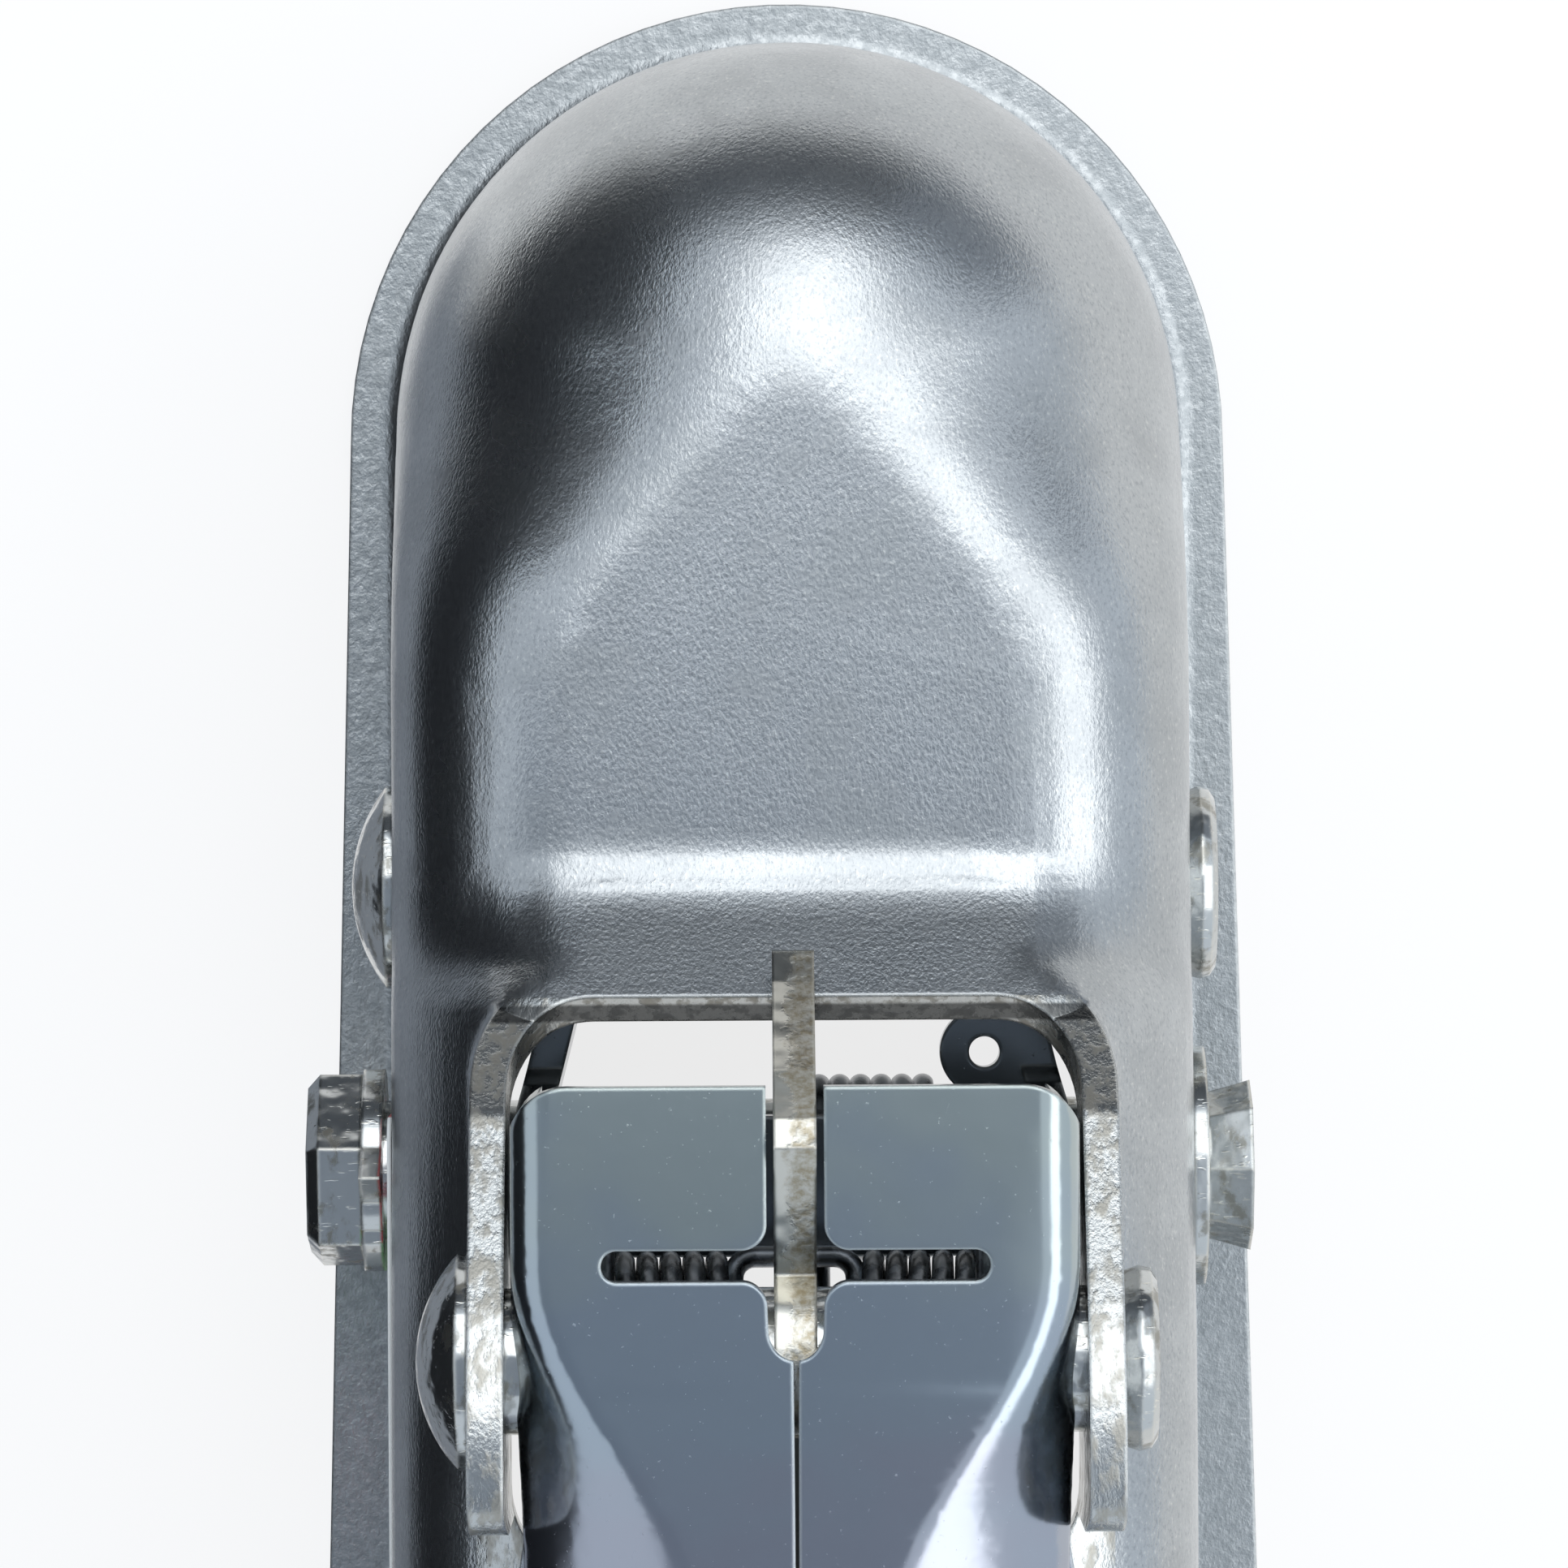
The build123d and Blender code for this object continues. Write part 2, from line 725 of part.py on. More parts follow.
with BuildPart() as safety_catch:
    with BuildSketch(Plane.YZ):
        Polygon(
            *catch_top,
            (handle_axis[0], handle_axis[1]),
            (handle_axis[0], handle_axis[1] - catch_hub_r),
            (catch_tooth_y - catch_tooth_len - catch_tooth_h / 2, catch_nose_z - catch_tooth_h / 4),
            (catch_tooth_y - catch_tooth_len, catch_nose_z - catch_tooth_h),
            (catch_tooth_y, catch_nose_z - catch_tooth_h),
            (catch_tooth_y, catch_nose_z),
            (catch_top[0][0], catch_nose_z),
            align=None,
        )
        with Locations(handle_axis):
            Circle(catch_hub_r)
            Circle(eye_r, mode=Mode.SUBTRACT)
    extrude(amount=catch_t / 2, both=True)


with BuildPart() as handle_spring:
    leg_x = coil_start_x + coil_len - wire_r
    for first_x, x in ((coil_start_x, leg_x), (-coil_start_x - coil_len, -leg_x)):
        add(coil(handle_axis, first_x))
        start = beside(handle_axis, x, leg_r, handle_leg_angle)
        end = beside(handle_axis, x, leg_r, handle_leg_angle, handle_leg_len)
        add(wire((start, end)))
    loop_x = coil_start_x + wire_r
    loop_end = (handle_axis[0] + loop_len, handle_axis[1] - leg_r - loop_drop)
    loop_start = (handle_axis[0], handle_axis[1] - leg_r)
    add(
        wire(
            (
                (loop_x, *loop_start),
                (loop_x, *loop_end),
                (-loop_x, *loop_end),
                (-loop_x, *loop_start),
            )
        )
    )


with BuildPart() as lever_spring:
    web_x = lug_end_x - side_clearance - wire_r
    first_x = web_x + wire_r - coil_len
    add(coil(lever_axis, first_x))
    web_start = beside(lever_axis, web_x, leg_r, web_leg_angle)
    add(wire((web_start, beside(lever_axis, web_x, leg_r, web_leg_angle, web_leg_len))))
    rest_start = beside(lever_axis, first_x + wire_r, leg_r, roof_leg_angle)
    roof_rise = channel_top_z - sheet_t - wire_r - side_clearance - rest_start[2]
    roof_leg_len = roof_rise / -cos(radians(roof_leg_angle))
    rest_end = beside(lever_axis, first_x + wire_r, leg_r, roof_leg_angle, roof_leg_len)
    add(wire((rest_start, rest_end)))


pieces = {
    "coupling_body": coupling_body.part,
    "jaw_pivot_rivet": jaw_pivot_rivet,
    "ball_jaw": ball_jaw.part,
    "closing_lever": closing_lever.part,
    "indicator_pin": indicator_pin.part,
    "indicator_pointer": indicator_pointer.part,
    "indicator_washer": indicator_washer.part,
    "indicator_label": indicator_label.part,
    "handle": handle.part,
    "handle_pivot_rivet": handle_pivot_rivet,
    "handle_spring": handle_spring.part,
    "safety_catch": safety_catch.part,
    "lever_spring": lever_spring.part,
}
os.makedirs("parts", exist_ok=True)
for name, piece in pieces.items():
    piece.label = name
    export_step(piece, f"parts/{name}.step")
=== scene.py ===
"""Looks of a zinc-plated trailer coupling head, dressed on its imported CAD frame."""
import logging
import math
from collections.abc import Callable
from dataclasses import dataclass
from enum import Enum
from typing import Any

import bmesh
import bpy
from mathutils import Matrix, Vector


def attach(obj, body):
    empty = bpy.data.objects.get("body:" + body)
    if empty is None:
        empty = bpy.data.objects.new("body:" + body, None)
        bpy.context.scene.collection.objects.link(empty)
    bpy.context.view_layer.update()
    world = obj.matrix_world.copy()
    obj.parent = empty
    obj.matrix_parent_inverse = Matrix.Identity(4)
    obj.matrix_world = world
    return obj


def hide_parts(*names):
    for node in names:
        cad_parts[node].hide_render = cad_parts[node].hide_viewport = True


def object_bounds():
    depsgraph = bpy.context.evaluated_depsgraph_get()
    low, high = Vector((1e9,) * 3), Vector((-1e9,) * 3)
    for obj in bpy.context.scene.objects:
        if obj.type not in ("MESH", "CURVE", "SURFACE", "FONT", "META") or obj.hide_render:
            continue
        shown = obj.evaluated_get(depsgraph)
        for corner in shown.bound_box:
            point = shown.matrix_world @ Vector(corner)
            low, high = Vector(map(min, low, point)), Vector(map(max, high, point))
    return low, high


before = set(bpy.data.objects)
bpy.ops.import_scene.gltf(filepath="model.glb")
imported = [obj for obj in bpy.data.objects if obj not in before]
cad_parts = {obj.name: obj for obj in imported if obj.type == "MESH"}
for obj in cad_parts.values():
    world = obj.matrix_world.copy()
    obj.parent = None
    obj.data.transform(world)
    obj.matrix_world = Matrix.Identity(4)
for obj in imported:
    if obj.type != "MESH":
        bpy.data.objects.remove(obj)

CAD_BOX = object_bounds()
MM = 0.001
PER_MM = 1000.0
PHOTO_PX = 1932
SAME_SPOT = 1e-7
NEAR_SPOT = 1e-6
# Cosine between a face's normal and its vertex's normal from which that corner is shaded smooth.
SMOOTH_LIMIT = 0.85
# Cosine between the flat and the rounded normal where an edge begins to be worn, and where it fully is.
WEAR_LIMITS = (0.995, 0.90)

LOG = logging.getLogger("coupling_head")

Socket = bpy.types.NodeSocket
Tree = bpy.types.NodeTree
Normals = dict[tuple[float, ...], list[Vector]]
Cut = tuple[tuple[float, float, float], tuple[float, float, float]]


class Slot(Enum):
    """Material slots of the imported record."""

    BODY = "zinc_body"
    HANDLE = "zinc_handle"
    SPRING = "spring_steel"


class Body(Enum):
    """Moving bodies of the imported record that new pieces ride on."""

    HOUSING = "housing"
    HANDLE = "handle"


class Sum(Enum):
    """Sums that a shader works on two values; the last two take one."""

    ADD = "ADD"
    SUBTRACT = "SUBTRACT"
    MULTIPLY = "MULTIPLY"
    POWER = "POWER"
    MAXIMUM = "MAXIMUM"
    LESS_THAN = "LESS_THAN"
    GREATER_THAN = "GREATER_THAN"
    ABSOLUTE = "ABSOLUTE"
    SQRT = "SQRT"


@dataclass(frozen=True)
class Opening:
    """The housing's top opening in plan, with its round front corners."""

    half_w_mm: float = 19.75
    front_mm: float = -40.0
    corner_mm: float = 6.0


OPENING = Opening()


def linear(hex_colour: str) -> tuple[float, float, float, float]:
    """Turns an sRGB hex colour into linear RGBA.

    Args:
        hex_colour: Six hex digits after a hash sign.

    Returns:
        Red, green, blue and alpha in linear light.
    """
    parts = [int(hex_colour[i : i + 2], 16) / 255 for i in (1, 3, 5)]
    red, green, blue = (p / 12.92 if p <= 0.04045 else ((p + 0.055) / 1.055) ** 2.4 for p in parts)
    return (red, green, blue, 1.0)


def add_node(
    tree: Tree,
    kind: str,
    settings: dict[str, Any] | None = None,
    inputs: dict[str | int, Any] | None = None,
) -> bpy.types.Node:
    """Adds one node with its settings, input values and links.

    Args:
        tree: Node tree that takes the node.
        kind: Blender's type name of the node, without its ShaderNode start.
        settings: Properties of the node.
        inputs: Socket name or number, with a value or the socket that feeds it.

    Returns:
        The new node.
    """
    node = tree.nodes.new("ShaderNode" + kind)
    for name, value in (settings or {}).items():
        setattr(node, name, value)
    for name, value in (inputs or {}).items():
        if isinstance(value, Socket):
            tree.links.new(value, node.inputs[name])
        else:
            node.inputs[name].default_value = value
    return node


def add_sum(tree: Tree, operation: Sum, first: Any, second: Any = 0.0) -> Socket:
    """Adds a node that works one sum.

    Args:
        tree: Node tree that takes the node.
        operation: The sum.
        first: Left value or socket.
        second: Right value or socket.

    Returns:
        The result.
    """
    return add_node(tree, "Math", {"operation": operation.value}, {0: first, 1: second}).outputs[0]


@dataclass
class Surface:
    """What a finish has at hand while it wires its shader."""

    tree: Tree
    shader: bpy.types.Node
    place: Socket
    facing: Socket
    rounded: Socket
    worn: Socket

    def axes(self, vector: Socket) -> bpy.types.NodeOutputs:
        """Splits a vector into its X, Y and Z."""
        return add_node(self.tree, "SeparateXYZ", inputs={0: vector}).outputs

    def grain(
        self, size_mm: float, detail: float, stretch: tuple[float, float, float] = (1, 1, 1)
    ) -> Socket:
        """Lays a noise pattern on the piece.

        Args:
            size_mm: Size of its largest grains.
            detail: Number of finer layers.
            stretch: How much longer the grains are along each axis.

        Returns:
            The pattern, from 0 to 1.
        """
        scale = tuple(1 / (size_mm * longer) for longer in stretch)
        laid = add_node(self.tree, "Mapping", inputs={"Vector": self.place, "Scale": scale})
        noise = add_node(
            self.tree,
            "TexNoise",
            inputs={"Vector": laid.outputs[0], "Scale": 1.0, "Detail": detail, "Roughness": 0.6},
        )
        return noise.outputs[0]

    def ramp(
        self, value: Socket, low: float, high: float, at_low: float = 0.0, at_high: float = 1.0
    ) -> Socket:
        """Eases a value from one level to another between two limits.

        Args:
            value: What is eased.
            low: Where the easing starts.
            high: Where it ends.
            at_low: Level at the start.
            at_high: Level at the end.

        Returns:
            The eased value.
        """
        eased = add_node(
            self.tree,
            "MapRange",
            {"interpolation_type": "SMOOTHSTEP"},
            {"Value": value, "From Min": low, "From Max": high, "To Min": at_low, "To Max": at_high},
        )
        return eased.outputs[0]

    def sums(self, operation: Sum, first: Any, second: Any = 0.0) -> Socket:
        """Works one sum, as add_sum does."""
        return add_sum(self.tree, operation, first, second)

    def sway(self, pattern: Socket, width: float) -> Socket:
        """Turns a pattern from 0 to 1 into a shift to both sides."""
        return self.sums(Sum.MULTIPLY, self.sums(Sum.SUBTRACT, pattern, 0.5), width)

    def blend(self, share: Socket, first: Any, second: Any) -> Socket:
        """Blends two colours.

        Args:
            share: Share of the second colour.
            first: Hex colour or socket.
            second: Hex colour or socket.

        Returns:
            The blended colour.
        """
        ends = [linear(c) if isinstance(c, str) else c for c in (first, second)]
        mix = add_node(self.tree, "Mix", {"data_type": "RGBA"}, {0: share, 6: ends[0], 7: ends[1]})
        return mix.outputs[2]

    def relief(self, height: Socket, depth_mm: float, under: Socket) -> Socket:
        """Raises a pattern as bump over a normal.

        Args:
            height: The pattern, from 0 to 1.
            depth_mm: Its whole depth.
            under: Normal that it lies on.

        Returns:
            The bumped normal.
        """
        bump = add_node(
            self.tree,
            "Bump",
            inputs={"Strength": 1.0, "Distance": depth_mm * MM, "Height": height, "Normal": under},
        )
        return bump.outputs[0]

    def metal(self, colour: Socket, roughness: Socket, normal: Socket) -> None:
        """Feeds the shader of a bare metal.

        Args:
            colour: Base colour.
            roughness: Roughness.
            normal: Normal.
        """
        self.shader.inputs["Metallic"].default_value = 1.0
        self.tree.links.new(colour, self.shader.inputs["Base Color"])
        self.tree.links.new(roughness, self.shader.inputs["Roughness"])
        self.tree.links.new(normal, self.shader.inputs["Normal"])


@dataclass(frozen=True)
class Finish:
    """A surface finish that builds its own material."""

    name: str
    edge_r_mm: float = 0.4

    def build(self) -> bpy.types.Material:
        """Makes the material and lets the finish wire its shader.

        Returns:
            The finished material.
        """
        material = bpy.data.materials.new(self.name)
        material.use_nodes = True
        tree = material.node_tree
        place = add_node(tree, "TexCoord")
        millimetres = add_node(
            tree, "Mapping", inputs={"Vector": place.outputs["Object"], "Scale": (PER_MM,) * 3}
        )
        rounded = add_node(tree, "Bevel", {"samples": 6}, {"Radius": self.edge_r_mm * MM})
        flat = add_node(tree, "NewGeometry")
        bend = add_node(
            tree,
            "VectorMath",
            {"operation": "DOT_PRODUCT"},
            {0: rounded.outputs[0], 1: flat.outputs["Normal"]},
        )
        worn = add_node(
            tree,
            "MapRange",
            {"interpolation_type": "SMOOTHSTEP"},
            {"Value": bend.outputs["Value"], "From Min": WEAR_LIMITS[0], "From Max": WEAR_LIMITS[1]},
        )
        surface = Surface(
            tree,
            tree.nodes["Principled BSDF"],
            millimetres.outputs[0],
            place.outputs["Normal"],
            rounded.outputs[0],
            worn.outputs[0],
        )
        self.wire(surface)
        return material

    def wire(self, surface: Surface) -> None:
        """Wires the shader.

        Args:
            surface: Tree, shader and position on the piece.
        """
        raise NotImplementedError

    def fade(self, middle: float, half: float) -> tuple[float, float]:
        """Gives the limits of a fall from one side of a place to the other."""
        return middle + half, middle - half


@dataclass(frozen=True)
class PlatedSheet(Finish):
    """Deep-drawn steel sheet, bright zinc plated."""

    clean: str = "#B4B7B8"
    clouded: str = "#AAADAE"
    edge: str = "#D2D3CF"
    sheared: str = "#BCBEBC"
    torn: str = "#ABA89F"
    lip_dark_reflection: str = "#5E5F5E"
    pit: str = "#989C9E"
    flange_low: str = "#A2A6A7"
    flange_high: str = "#B3B6B6"
    roughness: float = 0.25
    grain_mm: float = 0.24
    grain_depth_mm: float = 0.030
    cloud_rough: float = 0.03
    flange_rough: tuple[float, float] = (0.13, 0.07)
    tear_rough: tuple[float, float] = (-0.04, 0.14)
    peel_mm: float = 1.3
    peel_depth_mm: float = 0.010
    cloud_mm: float = 9.0
    speck_depth_mm: float = 0.05
    flange_top_mm: float = -13.5
    flange_fade_mm: float = 1.5
    mottle_mm: float = 0.7
    rim_t_mm: float = 2.4
    rim_low_mm: float = 27.0
    rim_gap_mm: float = 0.02
    rim_rear_mm: float = -83.0
    tear_mm: float = 1.1
    tear_depth_mm: float = 0.02
    lip_behind_mm: float = 1.15
    lip_fade_mm: tuple[float, float] = (0.75, 0.45)
    edge_share: float = 0.8

    def wire(self, surface: Surface) -> None:
        """Wires grain, flange, sheared rim and worn edges.

        Args:
            surface: Tree, shader and position on the piece.
        """
        # A satin mirror: drawing leaves a fine pressed grain that glitters where the reflections turn.
        s = surface
        at = s.axes(s.place)
        clouds = s.ramp(s.grain(self.cloud_mm, 3.0), 0.36, 0.66)
        fine = s.grain(self.grain_mm, 2.0, (1, 1.7, 1))
        specks = s.grain(2.2 * self.grain_mm, 3.0)
        colour = s.blend(clouds, self.clean, self.clouded)
        colour = s.blend(s.ramp(fine, 0.48, 0.30, 0.0, 0.7), colour, self.pit)
        colour = s.blend(s.ramp(fine, 0.56, 0.76, 0.0, 0.6), colour, self.edge)
        rough = s.ramp(clouds, 0.0, 1.0, self.roughness, self.roughness + self.cloud_rough)

        # The flange was pressed between the tools, so it is duller and mottled.
        flange = s.ramp(at[2], self.flange_top_mm + self.flange_fade_mm, self.flange_top_mm)
        mottle = s.ramp(s.grain(self.mottle_mm, 4.0), 0.38, 0.66)
        colour = s.blend(flange, colour, s.blend(mottle, self.flange_low, self.flange_high))
        duller = s.ramp(mottle, 0.0, 1.0, *self.flange_rough)
        rough = s.sums(Sum.ADD, rough, s.sums(Sum.MULTIPLY, flange, duller))

        # The rim round the opening is sheared: streaky bright bands and brownish torn metal.
        across = s.sums(Sum.SUBTRACT, s.sums(Sum.ABSOLUTE, at[0]), OPENING.half_w_mm - OPENING.corner_mm)
        along = s.sums(Sum.SUBTRACT, at[1], OPENING.front_mm - OPENING.corner_mm)
        sides = [s.sums(Sum.POWER, s.sums(Sum.MAXIMUM, side, 0.0), 2.0) for side in (across, along)]
        reach = s.sums(Sum.SQRT, s.sums(Sum.ADD, *sides))
        rim = s.sums(Sum.LESS_THAN, reach, OPENING.corner_mm + self.rim_t_mm)
        rim = s.sums(Sum.MULTIPLY, rim, s.sums(Sum.LESS_THAN, at[1], OPENING.front_mm - self.rim_gap_mm))
        rim = s.sums(Sum.MULTIPLY, rim, s.sums(Sum.GREATER_THAN, at[2], self.rim_low_mm))
        rim = s.sums(Sum.MULTIPLY, rim, s.sums(Sum.GREATER_THAN, at[1], self.rim_rear_mm))
        tear = s.ramp(s.grain(self.tear_mm, 4.0, (1, 2.0, 1)), 0.42, 0.66)
        colour = s.blend(rim, colour, s.blend(tear, self.sheared, self.torn))
        # Painted reflection: a dark band across the front lip's cut face stands in for the dark
        # surroundings that this rear-facing face reflects.
        lip_reflection_mask = s.sums(Sum.ABSOLUTE, s.sums(Sum.SUBTRACT, at[1], OPENING.front_mm - self.lip_behind_mm))
        lip_reflection_mask = s.sums(Sum.MULTIPLY, rim, s.ramp(lip_reflection_mask, *self.lip_fade_mm))
        colour = s.blend(lip_reflection_mask, colour, self.lip_dark_reflection)
        duller = s.ramp(tear, 0.0, 1.0, *self.tear_rough)
        rough = s.sums(Sum.ADD, rough, s.sums(Sum.MULTIPLY, rim, duller))

        colour = s.blend(s.sums(Sum.MULTIPLY, s.worn, self.edge_share), colour, self.edge)
        soft = s.relief(s.grain(self.peel_mm, 1.0), self.peel_depth_mm, s.rounded)
        rugged = s.relief(s.sums(Sum.MULTIPLY, tear, rim), self.tear_depth_mm, soft)
        dimpled = s.relief(s.sums(Sum.MULTIPLY, specks, flange), self.speck_depth_mm, rugged)
        s.metal(colour, rough, s.relief(fine, self.grain_depth_mm, dimpled))


@dataclass(frozen=True)
class BlueZinc(Finish):
    """Cold-rolled steel sheet with a smooth blue-passivated zinc coat."""

    light: str = "#AEB7B4"
    blue: str = "#A4AEB6"
    violet: str = "#A6A9B2"
    edge: str = "#CFD2CC"
    straw_mm: float = -54.0
    straw_fade_mm: float = 6.0
    violet_mm: float = -70.0
    violet_fade_mm: float = 8.0
    edge_share: float = 0.45
    roughness: float = 0.17
    speck_rough: float = 0.16
    speck_mm: float = 0.35
    speck_depth_mm: float = 0.002
    tint_mm: float = 13.0
    ripple_mm: float = 3.0
    ripple_depth_mm: float = 0.010

    def wire(self, surface: Surface) -> None:
        """Wires interference tints, faint ripples and bright edges.

        Args:
            surface: Tree, shader and position on the piece.
        """
        # Almost a mirror, with slow blue, violet and straw tints from the thin chromate film.
        s = surface
        tint = s.grain(self.tint_mm, 2.0)
        other = s.grain(0.8 * self.tint_mm, 2.0, (1.4, 1, 1))
        at = s.axes(s.place)
        back = s.sums(Sum.ADD, at[1], s.sway(tint, 2 * self.tint_mm))
        past_straw = s.ramp(back, *self.fade(self.straw_mm, self.straw_fade_mm))
        colour = s.blend(past_straw, self.light, self.blue)
        back = s.sums(Sum.ADD, at[1], s.sway(other, 3 * self.tint_mm))
        past_blue = s.ramp(back, *self.fade(self.violet_mm, self.violet_fade_mm))
        colour = s.blend(past_blue, colour, self.violet)
        specks = s.ramp(s.grain(self.speck_mm, 2.0), 0.66, 0.78)
        colour = s.blend(s.sums(Sum.MULTIPLY, s.worn, self.edge_share), colour, self.edge)
        rough = s.ramp(specks, 0.0, 1.0, self.roughness, self.roughness + self.speck_rough)
        waves = s.relief(s.grain(self.ripple_mm, 1.0), self.ripple_depth_mm, s.rounded)
        s.metal(colour, rough, s.relief(specks, self.speck_depth_mm, waves))


@dataclass(frozen=True)
class HammeredZinc(Finish):
    """Steel rivets and pins, upset with hammer blows and bright zinc plated."""

    clean: str = "#C2C4C2"
    scraped: str = "#D6D4CB"
    stained: str = "#8E8B80"
    roughness: float = 0.17
    stain_rough: float = 0.16
    stain_mm: float = 1.6
    stain_share: float = 0.8
    scrape_mm: float = 0.5
    scrape_depth_mm: float = 0.012
    blow_mm: float = 2.4
    blow_depth_mm: float = 0.24

    def wire(self, surface: Surface) -> None:
        """Wires hammer marks, scrapes and stains.

        Args:
            surface: Tree, shader and position on the piece.
        """
        # Uneven mirror facets: hard light and dark patches with scraped and stained spots.
        s = surface
        blows = s.grain(self.blow_mm, 1.5)
        stain = s.ramp(s.grain(self.stain_mm, 4.0, (1, 1.8, 1)), 0.52, 0.66)
        scrape = s.ramp(s.grain(self.scrape_mm, 2.0, (3.0, 0.7, 1)), 0.60, 0.72)
        colour = s.blend(s.sums(Sum.MULTIPLY, stain, self.stain_share), self.clean, self.stained)
        colour = s.blend(s.sums(Sum.MAXIMUM, scrape, s.worn), colour, self.scraped)
        rough = s.ramp(stain, 0.0, 1.0, self.roughness, self.roughness + self.stain_rough)
        beaten = s.relief(blows, self.blow_depth_mm, s.rounded)
        s.metal(colour, rough, s.relief(scrape, self.scrape_depth_mm, beaten))


@dataclass(frozen=True)
class ShearedSteel(Finish):
    """Thick steel sheet, blanked and zinc plated: smooth faces, a sheared and torn edge."""

    face: str = "#A7ADB3"
    sheared: str = "#C6C4BB"
    torn: str = "#A09680"
    roughness: float = 0.20
    torn_roughness: float = 0.34
    rim_facing: tuple[float, float] = (0.75, 0.45)
    tear_start_mm: float = -0.15
    tear_fade_mm: float = 0.5
    ragged_mm: float = 2.0
    ragged_w_mm: float = 3.4
    grit_mm: float = 0.6
    grit_depth_mm: float = 0.05
    streak_mm: float = 0.3
    facet_mm: float = 3.0
    facet_depth_mm: float = 0.20
    edge_share: float = 0.6

    def wire(self, surface: Surface) -> None:
        """Wires the shear band and the torn band of the edge.

        Args:
            surface: Tree, shader and position on the piece.
        """
        # One side of a blanked edge is polished by the punch, the other is torn, dull and brownish.
        s = surface
        at = s.axes(s.place)
        rim = s.ramp(s.sums(Sum.ABSOLUTE, s.axes(s.facing)[0]), *self.rim_facing)
        ragged = s.sums(Sum.ADD, at[0], s.sway(s.grain(self.ragged_mm, 4.0), self.ragged_w_mm))
        band = s.ramp(ragged, *reversed(self.fade(self.tear_start_mm, self.tear_fade_mm)))
        grit = s.grain(self.grit_mm, 3.0)
        streaks = s.grain(self.streak_mm, 3.0)
        tear = s.blend(s.ramp(grit, 0.30, 0.70), self.torn, self.sheared)
        edge = s.blend(band, self.sheared, tear)
        colour = s.blend(rim, s.blend(s.ramp(streaks, 0.45, 0.7, 0.0, 0.5), self.face, self.torn), edge)
        dull = s.sums(Sum.MULTIPLY, rim, band)
        rough = s.ramp(dull, 0.0, 1.0, self.roughness, self.torn_roughness)
        pits = s.relief(s.sums(Sum.MULTIPLY, grit, dull), self.grit_depth_mm, s.rounded)
        facets = s.relief(s.grain(self.facet_mm, 1.0), self.facet_depth_mm, pits)
        colour = s.blend(s.sums(Sum.MULTIPLY, s.worn, self.edge_share), colour, self.sheared)
        s.metal(colour, rough, facets)


@dataclass(frozen=True)
class SpringWire(Finish):
    """Oiled hard-drawn spring wire."""

    wire_grey: str = "#74787C"
    oiled: str = "#4E5154"
    roughness: float = 0.22
    dry_rough: float = 0.08
    oil_mm: float = 2.0
    line_mm: float = 0.3
    line_depth_mm: float = 0.010

    def wire(self, surface: Surface) -> None:
        """Wires the oil stains and the drawing lines.

        Args:
            surface: Tree, shader and position on the piece.
        """
        # Dark, slick wire with patches of oil.
        s = surface
        oil = s.ramp(s.grain(self.oil_mm, 3.0), 0.42, 0.60)
        rough = s.ramp(oil, 0.0, 1.0, self.roughness + self.dry_rough, self.roughness)
        lines = s.relief(s.grain(self.line_mm, 2.0), self.line_depth_mm, s.rounded)
        s.metal(s.blend(oil, self.wire_grey, self.oiled), rough, lines)


@dataclass(frozen=True)
class PrintedFilm(Finish):
    """Polyester film label with red, green and red fields."""

    red: str = "#B3262B"
    green: str = "#3F8A3C"
    paper: str = "#E4E4E0"
    first_change_mm: float = -58.5
    second_change_mm: float = -70.0
    margin_low_mm: float = -2.0
    margin_high_mm: float = 18.0
    ink_fade_mm: float = 0.1
    scuff_mm: float = 1.5
    roughness: tuple[float, float] = (0.24, 0.42)
    wave_mm: float = 6.0
    wave_depth_mm: float = 0.10

    def wire(self, surface: Surface) -> None:
        """Wires the colour fields and the film's gloss.

        Args:
            surface: Tree, shader and position on the piece.
        """
        # Glossy ink under clear film: strong flat colours that scuff a little.
        s = surface
        at = s.axes(s.place)
        scuff = s.grain(self.scuff_mm, 5.0)
        first = s.ramp(at[1], *self.fade(self.first_change_mm, self.ink_fade_mm))
        second = s.ramp(at[1], *self.fade(self.second_change_mm, self.ink_fade_mm))
        fields = s.blend(second, s.blend(first, self.red, self.green), self.red)
        low = s.ramp(at[2], *reversed(self.fade(self.margin_low_mm, self.ink_fade_mm)))
        high = s.ramp(at[2], *self.fade(self.margin_high_mm, self.ink_fade_mm))
        colour = s.blend(s.sums(Sum.MULTIPLY, low, high), self.paper, fields)
        colour = s.blend(s.ramp(scuff, 0.60, 0.75, 0.0, 0.35), colour, self.paper)
        s.tree.links.new(colour, s.shader.inputs["Base Color"])
        s.tree.links.new(s.ramp(scuff, 0.4, 0.7, *self.roughness), s.shader.inputs["Roughness"])
        waves = s.relief(s.grain(self.wave_mm, 1.0), self.wave_depth_mm, s.rounded)
        s.tree.links.new(waves, s.shader.inputs["Normal"])


def dress(material: bpy.types.Material, *nodes: str) -> None:
    """Gives CAD nodes their finish.

    Args:
        material: The finish.
        nodes: Names of the CAD nodes.
    """
    for node in nodes:
        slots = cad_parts[node].data.materials
        slots.clear()
        slots.append(material)
        LOG.info("dressed %s with %s", node, material.name)


def link_mesh(work: bmesh.types.BMesh, name: str, material: bpy.types.Material) -> bpy.types.Object:
    """Makes a finished mesh into an object of the scene.

    Args:
        work: The finished mesh, in metres; it is freed.
        name: Name of the object.
        material: Its finish.

    Returns:
        The new object.
    """
    mesh = bpy.data.meshes.new(name)
    work.to_mesh(mesh)
    work.free()
    mesh.materials.append(material)
    made = bpy.data.objects.new(name, mesh)
    bpy.context.scene.collection.objects.link(made)
    return made


